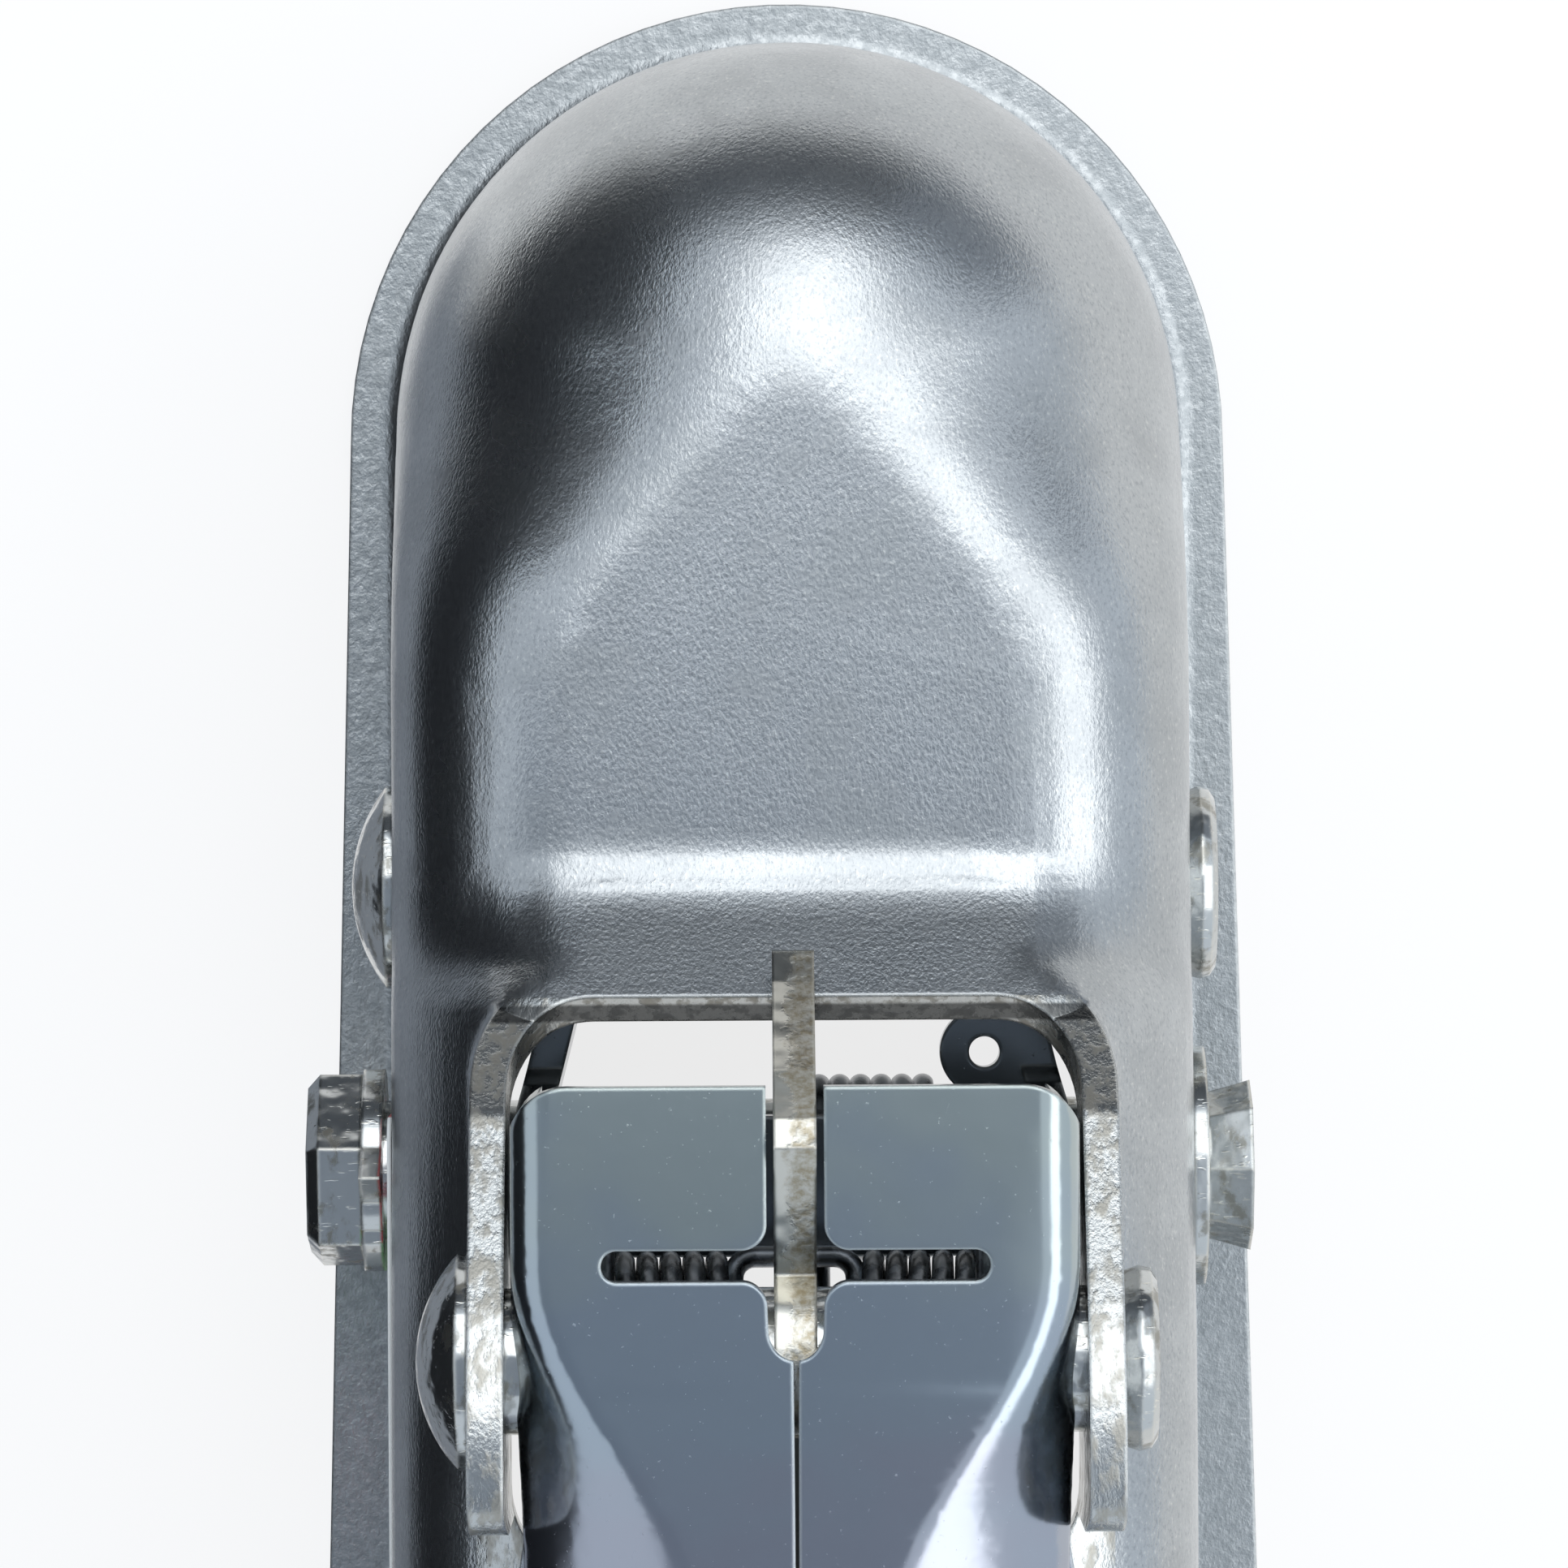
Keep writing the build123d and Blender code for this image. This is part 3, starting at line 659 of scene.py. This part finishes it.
def place_piece(
    work: bmesh.types.BMesh, name: str, material: bpy.types.Material, body: Body
) -> bpy.types.Object:
    """Makes a finished mesh into a piece that rides on a body.

    Args:
        work: The finished mesh, in metres; it is freed.
        name: Name of the piece.
        material: Its finish.
        body: Body that it rides on.

    Returns:
        The new object.
    """
    piece = link_mesh(work, name, material)
    piece.data.shade_smooth()
    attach(piece, body.value)
    LOG.info("built %s with %d faces", name, len(piece.data.polygons))
    return piece


def verts_of(geometry: list[Any]) -> list[bmesh.types.BMVert]:
    """Picks the vertices out of what an operator returns."""
    return [item for item in geometry if isinstance(item, bmesh.types.BMVert)]


def place_key(spot: Vector) -> tuple[float, ...]:
    """Gives a point's rounded place, to find it again."""
    return tuple(round(value, 6) + 0.0 for value in spot)


def cut_copy(
    node: str, cuts: list[Cut], wanted: Callable[[bmesh.types.BMFace], bool]
) -> tuple[bmesh.types.BMesh, Normals]:
    """Copies a CAD mesh, merges it and cuts some of its faces finer.

    Args:
        node: Name of the CAD node.
        cuts: Normal and point of each cutting plane.
        wanted: Tells whether a face is cut.

    Returns:
        The cut mesh and the CAD normals at each place.
    """
    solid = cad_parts[node].data
    known: Normals = {}
    for corner, normal in zip(solid.loops, solid.corner_normals):
        spot = solid.vertices[corner.vertex_index].co
        known.setdefault(place_key(spot), []).append(normal.vector.copy())
    work = bmesh.new()
    work.from_mesh(solid)
    bmesh.ops.remove_doubles(work, verts=work.verts, dist=SAME_SPOT)
    for across, through in cuts:
        chosen = [face for face in work.faces if wanted(face)]
        parts = {part for face in chosen for part in (face, *face.edges, *face.verts)}
        bmesh.ops.bisect_plane(
            work, geom=list(parts), dist=NEAR_SPOT, plane_co=through, plane_no=across
        )
    return work, known


def keep_normals(piece: bpy.types.Object, known: Normals) -> None:
    """Gives a reshaped copy the CAD normals wherever it wasn't moved.

    Args:
        piece: The reshaped copy.
        known: CAD normals at each place.
    """
    mesh = piece.data
    normals = []
    for face in mesh.polygons:
        for index in face.vertices:
            vert = mesh.vertices[index]
            smooth = face.normal.dot(vert.normal) > SMOOTH_LIMIT
            kept = known.get(place_key(vert.co), [vert.normal if smooth else face.normal])
            normals.append(max(kept, key=face.normal.dot))
    mesh.normals_split_custom_set(normals)


def ease(share: float) -> float:
    """Eases a share between 0 and 1."""
    share = min(max(share, 0.0), 1.0)
    return share * share * (3 - 2 * share)


@dataclass
class Housing:
    """The drawn housing with the two rivets that cross it."""

    half_w_mm: float = 28.5
    dome_r_mm: float = 27.5
    shoulder_r_mm: float = 13.0
    solid_run_mm: float = 18.0
    drawn_start_mm: float = 5.0
    drawn_run_mm: float = 31.0
    collar_mm: float = 2.5
    collar_gap_mm: float = 0.05
    rise_run_mm: float = 8.3
    rise_angle: float = 35.0
    solid_bend_mm: float = 1.0
    drawn_bend_mm: float = 2.4
    rise_end_mm: float = -76.0
    roof_low_mm: float = 14.0
    roof_full_mm: float = 22.0
    cut_y_mm: range = range(-76, -26)
    cut_x_mm: range = range(12, 24)

    def dress(self) -> None:
        """Dresses the housing, its ball jaw and its rivets."""
        sheet = PlatedSheet("drawn_zinc_sheet").build()
        self.shell(sheet)
        dress(sheet, "ball_jaw")
        dress(HammeredZinc("hammered_zinc").build(), "jaw_pivot_rivet", "handle_pivot_rivet")

    def shell(self, material: bpy.types.Material) -> None:
        """Makes the housing with the soft shoulders that deep drawing leaves behind the dome.

        Args:
            material: Finish of the sheet.
        """
        cuts = [((0, 1, 0), (0, y * MM, 0)) for y in reversed(self.cut_y_mm)]
        cuts += [((1, 0, 0), (side * x * MM, 0, 0)) for x in self.cut_x_mm for side in (-1, 1)]
        work, known = cut_copy("coupling_body", cuts, self.on_slope)
        for vert in work.verts:
            vert.co = self.drawn(vert.co)
        shell = place_piece(work, "drawn_housing", material, Body.HOUSING)
        keep_normals(shell, known)
        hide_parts("coupling_body")

    def drawn(self, spot: Vector) -> Vector:
        """Moves a point of the solid housing to the drawn shape.

        Args:
            spot: Point on the solid, in metres.

        Returns:
            The moved point; points outside the blend stay.
        """
        x, y, z = spot * PER_MM
        if z <= 0 or y >= self.drawn_start_mm or y <= self.rise_end_mm:
            return spot
        half_w = math.sqrt(self.half_w_mm**2 - max(y, 0.0) ** 2)
        angle = math.atan2(abs(x), z)
        grown = 1.0
        if y > self.drawn_start_mm - self.drawn_run_mm:
            soft = 1 - (1 - ease((self.drawn_start_mm - y) / self.drawn_run_mm)) ** 2
            reaches = []
            for share in (ease(-y / self.solid_run_mm), soft):
                corner_r = self.dome_r_mm + (self.shoulder_r_mm - self.dome_r_mm) * share
                reaches.append(self.reach(angle, half_w, corner_r * half_w / self.half_w_mm))
            grown += (reaches[1] - reaches[0]) / math.hypot(x, z)
        high = ease((z - self.roof_low_mm) / (self.roof_full_mm - self.roof_low_mm))
        behind = ease((y - self.rise_end_mm) / (OPENING.front_mm - self.rise_end_mm))
        away = max(self.from_opening(x, y), self.collar_mm)
        solid_away = max(y - OPENING.front_mm, self.collar_mm)
        lift = self.rise(away, self.drawn_bend_mm) - self.rise(solid_away, self.solid_bend_mm)
        return Vector((x * grown, y, z * grown + lift * high * behind)) * MM

    def on_slope(self, face: bmesh.types.BMFace) -> bool:
        """Tells whether a face reaches into the roof round the collar, where the slope is reshaped."""
        spots = [vert.co * PER_MM for vert in face.verts]
        ahead = OPENING.front_mm + 2 * self.rise_run_mm
        near = max(s.y for s in spots) > self.rise_end_mm and min(s.y for s in spots) < ahead
        high = max(s.z for s in spots) > self.roof_low_mm
        outside = max(self.from_opening(s.x, s.y) for s in spots) > self.collar_mm + self.collar_gap_mm
        return near and high and outside

    def from_opening(self, x: float, y: float) -> float:
        """Gives the distance of a place in plan from the opening's round-cornered outline."""
        across = max(abs(x) - OPENING.half_w_mm + OPENING.corner_mm, 0.0)
        along = max(y - OPENING.front_mm + OPENING.corner_mm, 0.0)
        return math.hypot(across, along) - OPENING.corner_mm

    def rise(self, away: float, bend: float) -> float:
        """Gives how high the slope is at a distance from the opening.

        Args:
            away: The distance.
            bend: Half length of the bend at the slope's foot.

        Returns:
            The height above the plateau.
        """
        past = max(self.rise_run_mm - away, -bend)
        run = (past + bend) ** 2 / (4 * bend) if past < bend else past
        return run * math.tan(math.radians(self.rise_angle))

    def reach(self, angle: float, half_w: float, corner_r: float) -> float:
        """Gives how far an arch with rounded shoulders is from its middle.

        Args:
            angle: Angle from straight up.
            half_w: Half width and height of the arch.
            corner_r: Radius of its shoulders.

        Returns:
            The distance.
        """
        across, up = math.sin(angle), math.cos(angle)
        flat = half_w - corner_r
        if half_w * across <= flat * up:
            return half_w / up
        if half_w * up <= flat * across:
            return half_w / across
        along = flat * (across + up)
        return along + math.sqrt(along**2 - 2 * flat**2 + corner_r**2)


@dataclass
class ClosingGear:
    """The closing lever with its spring."""

    def dress(self) -> None:
        """Dresses the lever and its spring."""
        lever = BlueZinc(
            "dark_zinc_lever", light="#6D7276", blue="#5F666D", violet="#686A74", edge="#9A9C98"
        )
        dress(lever.build(), "closing_lever")
        dress(SpringWire("lever_spring_wire").build(), "lever_spring")


@dataclass
class WearGauge:
    """The wear indicator: pin, washer, pointer and colour label."""

    pin_blow_mm: float = 3.0
    pin_blow_depth_mm: float = 0.30
    washer_blow_depth_mm: float = 0.05

    def dress(self) -> None:
        """Dresses the four pieces of the indicator."""
        pin = HammeredZinc("zinc_pin", blow_mm=self.pin_blow_mm, blow_depth_mm=self.pin_blow_depth_mm)
        dress(pin.build(), "indicator_pin")
        washer = HammeredZinc("zinc_washer", blow_depth_mm=self.washer_blow_depth_mm)
        dress(washer.build(), "indicator_washer", "indicator_pointer")
        dress(PrintedFilm("indicator_film").build(), "indicator_label")


@dataclass
class LiftHandle:
    """The lift handle with its catch and the helical spring round its pin."""

    axis_mm: tuple[float, float] = (-64.6, 42.0)
    coil_r_mm: float = 6.8
    wire_r_mm: float = 0.75
    coil_start_mm: float = 4.25
    coil_len_mm: float = 8.7
    start_deg: float = -108.6
    turn_deg: float = 1983.4
    steps_per_turn: int = 28
    wire_sides: int = 10
    leg_mm: float = 11.0
    loop_mm: float = 7.6
    loop_bend_mm: float = 1.5
    bend_steps: int = 6
    half_w_mm: float = 19.45
    top_half_w_mm: float = 19.2
    grip_half_w_mm: float = 9.5
    foot_z_mm: float = 35.5
    solid_taper_mm: tuple[float, float] = (-66.0, 25.0)
    taper_mm: tuple[float, float] = (-57.5, 24.0)
    flank_z_mm: float = 45.5
    flank_gap_mm: float = 0.9
    flank_rear_mm: float = -130.0
    flank_fade_mm: float = 52.0
    flank_curve: float = 0.4
    cut_z_mm: range = range(38, 53)
    cut_y_mm: range = range(-91, -56)
    cut_rear_mm: range = range(-131, -91, 3)
    seam_front_mm: float = -69.0
    seam_rear_mm: float = -150.0
    plate_mm: tuple[float, float] = (-45.5, 48.8)
    plate_t_mm: float = 2.0
    plate_fall: float = 0.0551
    hem_mm: tuple[float, float] = (2.6, 0.9)
    hem_t_mm: float = 0.5
    hem_crease_deg: float = 30.0

    def dress(self) -> None:
        """Dresses handle and catch, and builds the hem and the spring."""
        self.grip(BlueZinc("blue_zinc_handle").build())
        # The hem's dark colours are painted shade: they stand in for the shadow deep in the top plate's
        # seam.
        hem = BlueZinc(
            "painted_seam_shade_hem", light="#4C4A46", blue="#45443F", violet="#403E3A", edge="#5A564C"
        )
        self.hem(hem.build())
        dress(ShearedSteel("blanked_zinc_catch").build(), "safety_catch")
        self.spring(SpringWire("handle_spring_wire").build())

    def grip(self, material: bpy.types.Material) -> None:
        """Makes the handle with the early taper and broad flanks of the folded sheet.

        Args:
            material: Finish of the handle.
        """
        cuts = [((0, 0, 1), (0, 0, z * MM)) for z in self.cut_z_mm]
        rows = (*reversed(self.cut_y_mm), *reversed(self.cut_rear_mm))
        cuts += [((0, 1, 0), (0, y * MM, 0)) for y in rows]
        work, known = cut_copy("handle", cuts, self.on_taper)
        for vert in work.verts:
            vert.co = self.folded(vert.co)
        grip = place_piece(work, "folded_handle", material, Body.HANDLE)
        keep_normals(grip, known)
        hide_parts("handle")

    def on_taper(self, face: bmesh.types.BMFace) -> bool:
        """Tells whether a face reaches into the taper above the walls' feet."""
        spots = [vert.co * PER_MM for vert in face.verts]
        ahead = max(s.y for s in spots) > self.flank_rear_mm
        behind = min(s.y for s in spots) < self.taper_mm[0]
        return ahead and behind and max(s.z for s in spots) > self.foot_z_mm

    def folded(self, spot: Vector) -> Vector:
        """Moves a point of the solid handle to the folded shape.

        Args:
            spot: Point on the solid, in metres.

        Returns:
            The moved point.
        """
        x, y, z = spot * PER_MM
        top = self.plate_mm[1] + self.plate_t_mm + self.plate_fall * (self.plate_mm[0] - y)
        share = ease((y - self.flank_rear_mm) / self.flank_fade_mm)
        foot_z = self.foot_z_mm + (self.flank_z_mm - self.foot_z_mm) * share
        widths = []
        for (start, run), low, curve in (
            (self.solid_taper_mm, self.foot_z_mm, 1.0),
            (self.taper_mm, foot_z, 1.0 + self.flank_curve * share),
        ):
            level = min(max((z - low) / (top - low), 0.0), 1.0) ** curve
            narrowing = (self.grip_half_w_mm - self.top_half_w_mm) * ease((start - y) / run)
            top_half_w = self.top_half_w_mm + narrowing
            widths.append(self.half_w_mm + (top_half_w - self.half_w_mm) * level)
        inward = self.flank_gap_mm * share * ease((self.taper_mm[0] - y) / self.taper_mm[1])
        return Vector((x * (widths[1] - inward) / widths[0], y, z)) * MM

    def hem(self, material: bpy.types.Material) -> None:
        """Folds the narrow hem that closes the top plate's seam from below; its dark finish is painted
        shade for the seam's shadow.

        Args:
            material: Finish of the hem.
        """
        width, depth = self.hem_mm
        length = self.seam_front_mm - self.seam_rear_mm
        middle_y = self.seam_rear_mm + length / 2
        under_z = self.plate_mm[1] + self.plate_fall * (self.plate_mm[0] - middle_y) - self.hem_t_mm
        work = bmesh.new()
        strip = bmesh.ops.create_grid(work, x_segments=1, y_segments=1, size=0.5)["verts"]
        bmesh.ops.scale(work, verts=strip, vec=Vector((width, length, 1)) * MM)
        sides = [edge for edge in work.edges if abs(edge.verts[0].co.x - edge.verts[1].co.x) < MM / 2]
        low = verts_of(bmesh.ops.extrude_edge_only(work, edges=sides)["geom"])
        bmesh.ops.translate(work, verts=low, vec=(0, 0, -depth * MM))
        bmesh.ops.recalc_face_normals(work, faces=work.faces)
        bmesh.ops.solidify(work, geom=work.faces[:], thickness=self.hem_t_mm * MM)
        bmesh.ops.recalc_face_normals(work, faces=work.faces)
        lean = Matrix.Rotation(-math.atan(self.plate_fall), 4, "X")
        stand = Matrix.Translation(Vector((0, middle_y, under_z)) * MM) @ lean
        bmesh.ops.transform(work, matrix=stand, verts=work.verts)
        piece = place_piece(work, "seam_hem", material, Body.HANDLE)
        piece.data.set_sharp_from_angle(angle=math.radians(self.hem_crease_deg))

    def spring(self, material: bpy.types.Material) -> None:
        """Winds the two coils and the loop that joins them.

        Args:
            material: Finish of the wire.
        """
        work = bmesh.new()
        centre = Vector((0, *self.axis_mm)) * MM
        start = math.radians(self.start_deg)
        stand = Matrix.Rotation(start, 4, "X") @ Matrix.Translation((0, self.coil_r_mm * MM, 0))
        first = Matrix.Translation(centre + Vector((self.coil_start_mm * MM, 0, 0))) @ stand
        ring = bmesh.ops.create_circle(
            work, radius=self.wire_r_mm * MM, segments=self.wire_sides, matrix=first
        )["verts"]
        wound_from = self.ring_edges(ring)
        steps = round(self.turn_deg / 360 * self.steps_per_turn)
        wound = bmesh.ops.spin(
            work,
            geom=ring + wound_from,
            cent=centre,
            axis=(1, 0, 0),
            dvec=(self.coil_len_mm * MM / steps, 0, 0),
            angle=-math.radians(self.turn_deg),
            steps=steps,
        )["geom_last"]
        last = verts_of(wound)
        leaving = start - math.radians(self.turn_deg)
        out = Vector((0, math.sin(leaving), -math.cos(leaving)))
        tip = self.run(work, last, out * self.leg_mm * MM)
        bmesh.ops.contextual_create(work, geom=self.ring_edges(tip))
        forward = Vector((0, -math.sin(start), math.cos(start)))
        bend = self.run(work, ring, forward * self.loop_mm * MM)
        middle = sum((v.co for v in bend), Vector()) / len(bend)
        turned = bmesh.ops.spin(
            work,
            geom=bend + self.ring_edges(bend),
            cent=middle - Vector((self.loop_bend_mm * MM, 0, 0)),
            axis=Vector((-1, 0, 0)).cross(forward),
            angle=-math.pi / 2,
            steps=self.bend_steps,
        )["geom_last"]
        corner = verts_of(turned)
        bar = self.run(work, corner, Vector((-sum(v.co.x for v in corner) / len(corner), 0, 0)))
        for vert in bar:
            vert.co.x = 0.0
        half = work.verts[:] + work.edges[:] + work.faces[:]
        bmesh.ops.mirror(work, geom=half, axis="X", merge_dist=NEAR_SPOT)
        bmesh.ops.remove_doubles(work, verts=work.verts, dist=NEAR_SPOT)
        bmesh.ops.recalc_face_normals(work, faces=work.faces)
        coils = place_piece(work, "handle_coil_spring", material, Body.HOUSING)
        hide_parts("handle_spring")

    def ring_edges(self, ring: list[bmesh.types.BMVert]) -> list[bmesh.types.BMEdge]:
        """Lists the edges between the vertices of one ring."""
        held = set(ring)
        edges = {edge for vert in ring for edge in vert.link_edges if set(edge.verts) <= held}
        return sorted(edges, key=lambda edge: edge.index)

    def run(
        self, work: bmesh.types.BMesh, ring: list[bmesh.types.BMVert], way: Vector
    ) -> list[bmesh.types.BMVert]:
        """Draws the wire straight on from a ring.

        Args:
            work: Mesh of the spring.
            ring: End ring of the wire.
            way: Direction and length.

        Returns:
            The new end ring.
        """
        end = verts_of(bmesh.ops.extrude_edge_only(work, edges=self.ring_edges(ring))["geom"])
        bmesh.ops.translate(work, verts=end, vec=way)
        return end


def matt(name: str, colour: str, roughness: float) -> bpy.types.Material:
    """Makes a plain material for the studio.

    Args:
        name: Name of the material.
        colour: Hex colour.
        roughness: Roughness.

    Returns:
        The material.
    """
    material = bpy.data.materials.new(name)
    material.use_nodes = True
    shader = material.node_tree.nodes["Principled BSDF"]
    shader.inputs["Base Color"].default_value = linear(colour)
    shader.inputs["Roughness"].default_value = roughness
    return material


@dataclass
class Camera:
    """The photograph's view from almost straight above."""

    place_mm: tuple[float, float, float] = (-2.5, -20.1, 615.8)
    turn_deg: tuple[float, float, float] = (-0.513, -0.197, -0.340)
    focal_px: float = 10357.0
    sensor_mm: float = 36.0

    def build(self) -> None:
        """Makes the scene's camera."""
        lens = bpy.data.cameras.new("camera")
        lens.sensor_width = self.sensor_mm
        lens.lens = self.focal_px * self.sensor_mm / PHOTO_PX
        lens.clip_start = 0.01
        lens.clip_end = 20.0
        camera = bpy.data.objects.new("camera", lens)
        camera.location = Vector(self.place_mm) * MM
        camera.rotation_euler = [math.radians(angle) for angle in self.turn_deg]
        bpy.context.scene.collection.objects.link(camera)
        bpy.context.scene.camera = camera


@dataclass(frozen=True)
class Softbox:
    """An overhead area lamp, given by its radiance and the rectangle that it fills."""

    name: str
    low: tuple[float, float]
    high: tuple[float, float]
    height: float
    radiance: float

    def build(self) -> None:
        """Makes the lamp, facing down."""
        lamp = bpy.data.lights.new(self.name, "AREA")
        lamp.shape = "RECTANGLE"
        lamp.size = self.high[0] - self.low[0]
        lamp.size_y = self.high[1] - self.low[1]
        lamp.energy = self.radiance * math.pi * lamp.size * lamp.size_y
        softbox = bpy.data.objects.new(self.name, lamp)
        middle = [(low + high) / 2 for low, high in zip(self.low, self.high)]
        softbox.location = (*middle, self.height)
        softbox.visible_camera = False
        bpy.context.scene.collection.objects.link(softbox)


@dataclass(frozen=True)
class Flag:
    """A grey card that is seen only in the metal."""

    name: str
    start: tuple[float, float, float]
    end: tuple[float, float, float]
    reach: tuple[float, float, float]
    colour: str

    def build(self) -> None:
        """Makes the card by drawing its first edge along its reach."""
        work = bmesh.new()
        first = work.edges.new([work.verts.new(corner) for corner in (self.start, self.end)])
        far = verts_of(bmesh.ops.extrude_edge_only(work, edges=[first])["geom"])
        bmesh.ops.translate(work, verts=far, vec=self.reach)
        material = matt(self.name, self.colour, 1.0)
        material.node_tree.nodes["Principled BSDF"].inputs["Specular IOR Level"].default_value = 0.0
        card = link_mesh(work, self.name, material)
        card.visible_camera = False
        card.visible_diffuse = False
        card.visible_shadow = False
        card.visible_transmission = False


@dataclass
class Studio:
    """White floor, pale surround, soft lamps and dark flags."""

    floor_r: float = 0.45
    floor_z: float = CAD_BOX[0].z
    floor_colour: str = "#F2F3F4"
    floor_glow: float = 0.8
    floor_sides: int = 96
    surround: str = "#E9F3FF"
    lamp_z: float = 0.72
    radiance: float = 1.7
    left_x: float = -0.095
    left_rear: float = -0.32
    left_change: float = 0.038
    left_floor_front: float = 0.03
    front_y: float = 0.97
    front_foot: float = -0.1
    card_rear: float = -0.45
    card_z: float = 0.35

    def build(self) -> None:
        """Makes the world, the floor, the lamps and the flags."""
        self.world()
        self.floor()
        for softbox in (
            Softbox("front_softbox", (-0.17, 0.13), (0.40, 0.92), self.lamp_z, self.radiance),
            Softbox("right_softbox", (0.42, -0.60), (1.10, 0.35), self.lamp_z, self.radiance),
        ):
            softbox.build()
        foot, lying, low = self.floor_z, self.floor_z + MM, self.front_foot
        rear = (self.left_x, self.left_rear, foot)
        change = (self.left_x, self.left_change, foot)
        lying_rear = (self.left_x, self.left_rear, lying)
        lying_front = (self.left_x, self.left_floor_front, lying)
        turn = (0.50, self.front_y, low)
        above = [(x, self.card_rear, self.card_z) for x in (-0.24, 0.045)]
        for flag in (
            Flag("left_flag", rear, change, (0, 0, 0.088), "#2C2D2F"),
            # Painted shade: a grey card lying on the floor at the left, seen only in the metal, stands
            # in for the shadowed floor on that side.
            Flag("left_floor_shade_card", lying_rear, lying_front, (0.055, 0, 0), "#9A9CA0"),
            Flag("corner_flag", change, (-0.10, 0.19, foot), (0, 0, 0.15), "#38393B"),
            Flag("front_flag", (-0.75, self.front_y, low), turn, (0, 0, 0.64), "#55575A"),
            Flag("side_flag", turn, (1.10, 0.70, low), (0, 0, 0.66), "#8A8D92"),
            Flag("overhead_card", *above, (0, 0.438, 0), "#9DA2A9"),
        ):
            flag.build()

    def world(self) -> None:
        """Makes the even pale surround."""
        world = bpy.data.worlds.new("surround")
        bpy.context.scene.world = world
        world.use_nodes = True
        sky = world.node_tree.nodes["Background"].inputs
        sky["Color"].default_value = linear(self.surround)
        sky["Strength"].default_value = 1.0

    def floor(self) -> None:
        """Makes the round floor that the head stands on."""
        work = bmesh.new()
        level = Matrix.Translation((0, 0, self.floor_z))
        bmesh.ops.create_circle(
            work, cap_ends=True, radius=self.floor_r, segments=self.floor_sides, matrix=level
        )
        material = matt("floor_paper", self.floor_colour, 0.9)
        tree = material.node_tree
        paper = tree.nodes["Principled BSDF"]
        path = add_node(tree, "LightPath").outputs
        seen = path["Is Camera Ray"]
        for ray in ("Is Glossy Ray", "Is Transmission Ray"):
            seen = add_sum(tree, Sum.MAXIMUM, seen, path[ray])
        share = add_sum(tree, Sum.MULTIPLY, seen, self.floor_glow)
        glow = add_node(tree, "Emission", inputs={"Strength": 1.0})
        mixed = add_node(tree, "MixShader", inputs={0: share, 1: paper.outputs[0], 2: glow.outputs[0]})
        tree.links.new(mixed.outputs[0], tree.nodes["Material Output"].inputs["Surface"])
        floor = link_mesh(work, "floor", material)


def main() -> None:
    """Builds the looks, piece by piece."""
    logging.basicConfig(level=logging.INFO, format="%(name)s: %(message)s")
    bpy.context.scene.view_settings.view_transform = "Standard"
    Camera().build()
    Studio().build()
    for assembly in (Housing(), ClosingGear(), WearGauge(), LiftHandle()):
        assembly.dress()


if __name__ == "__main__":
    main()
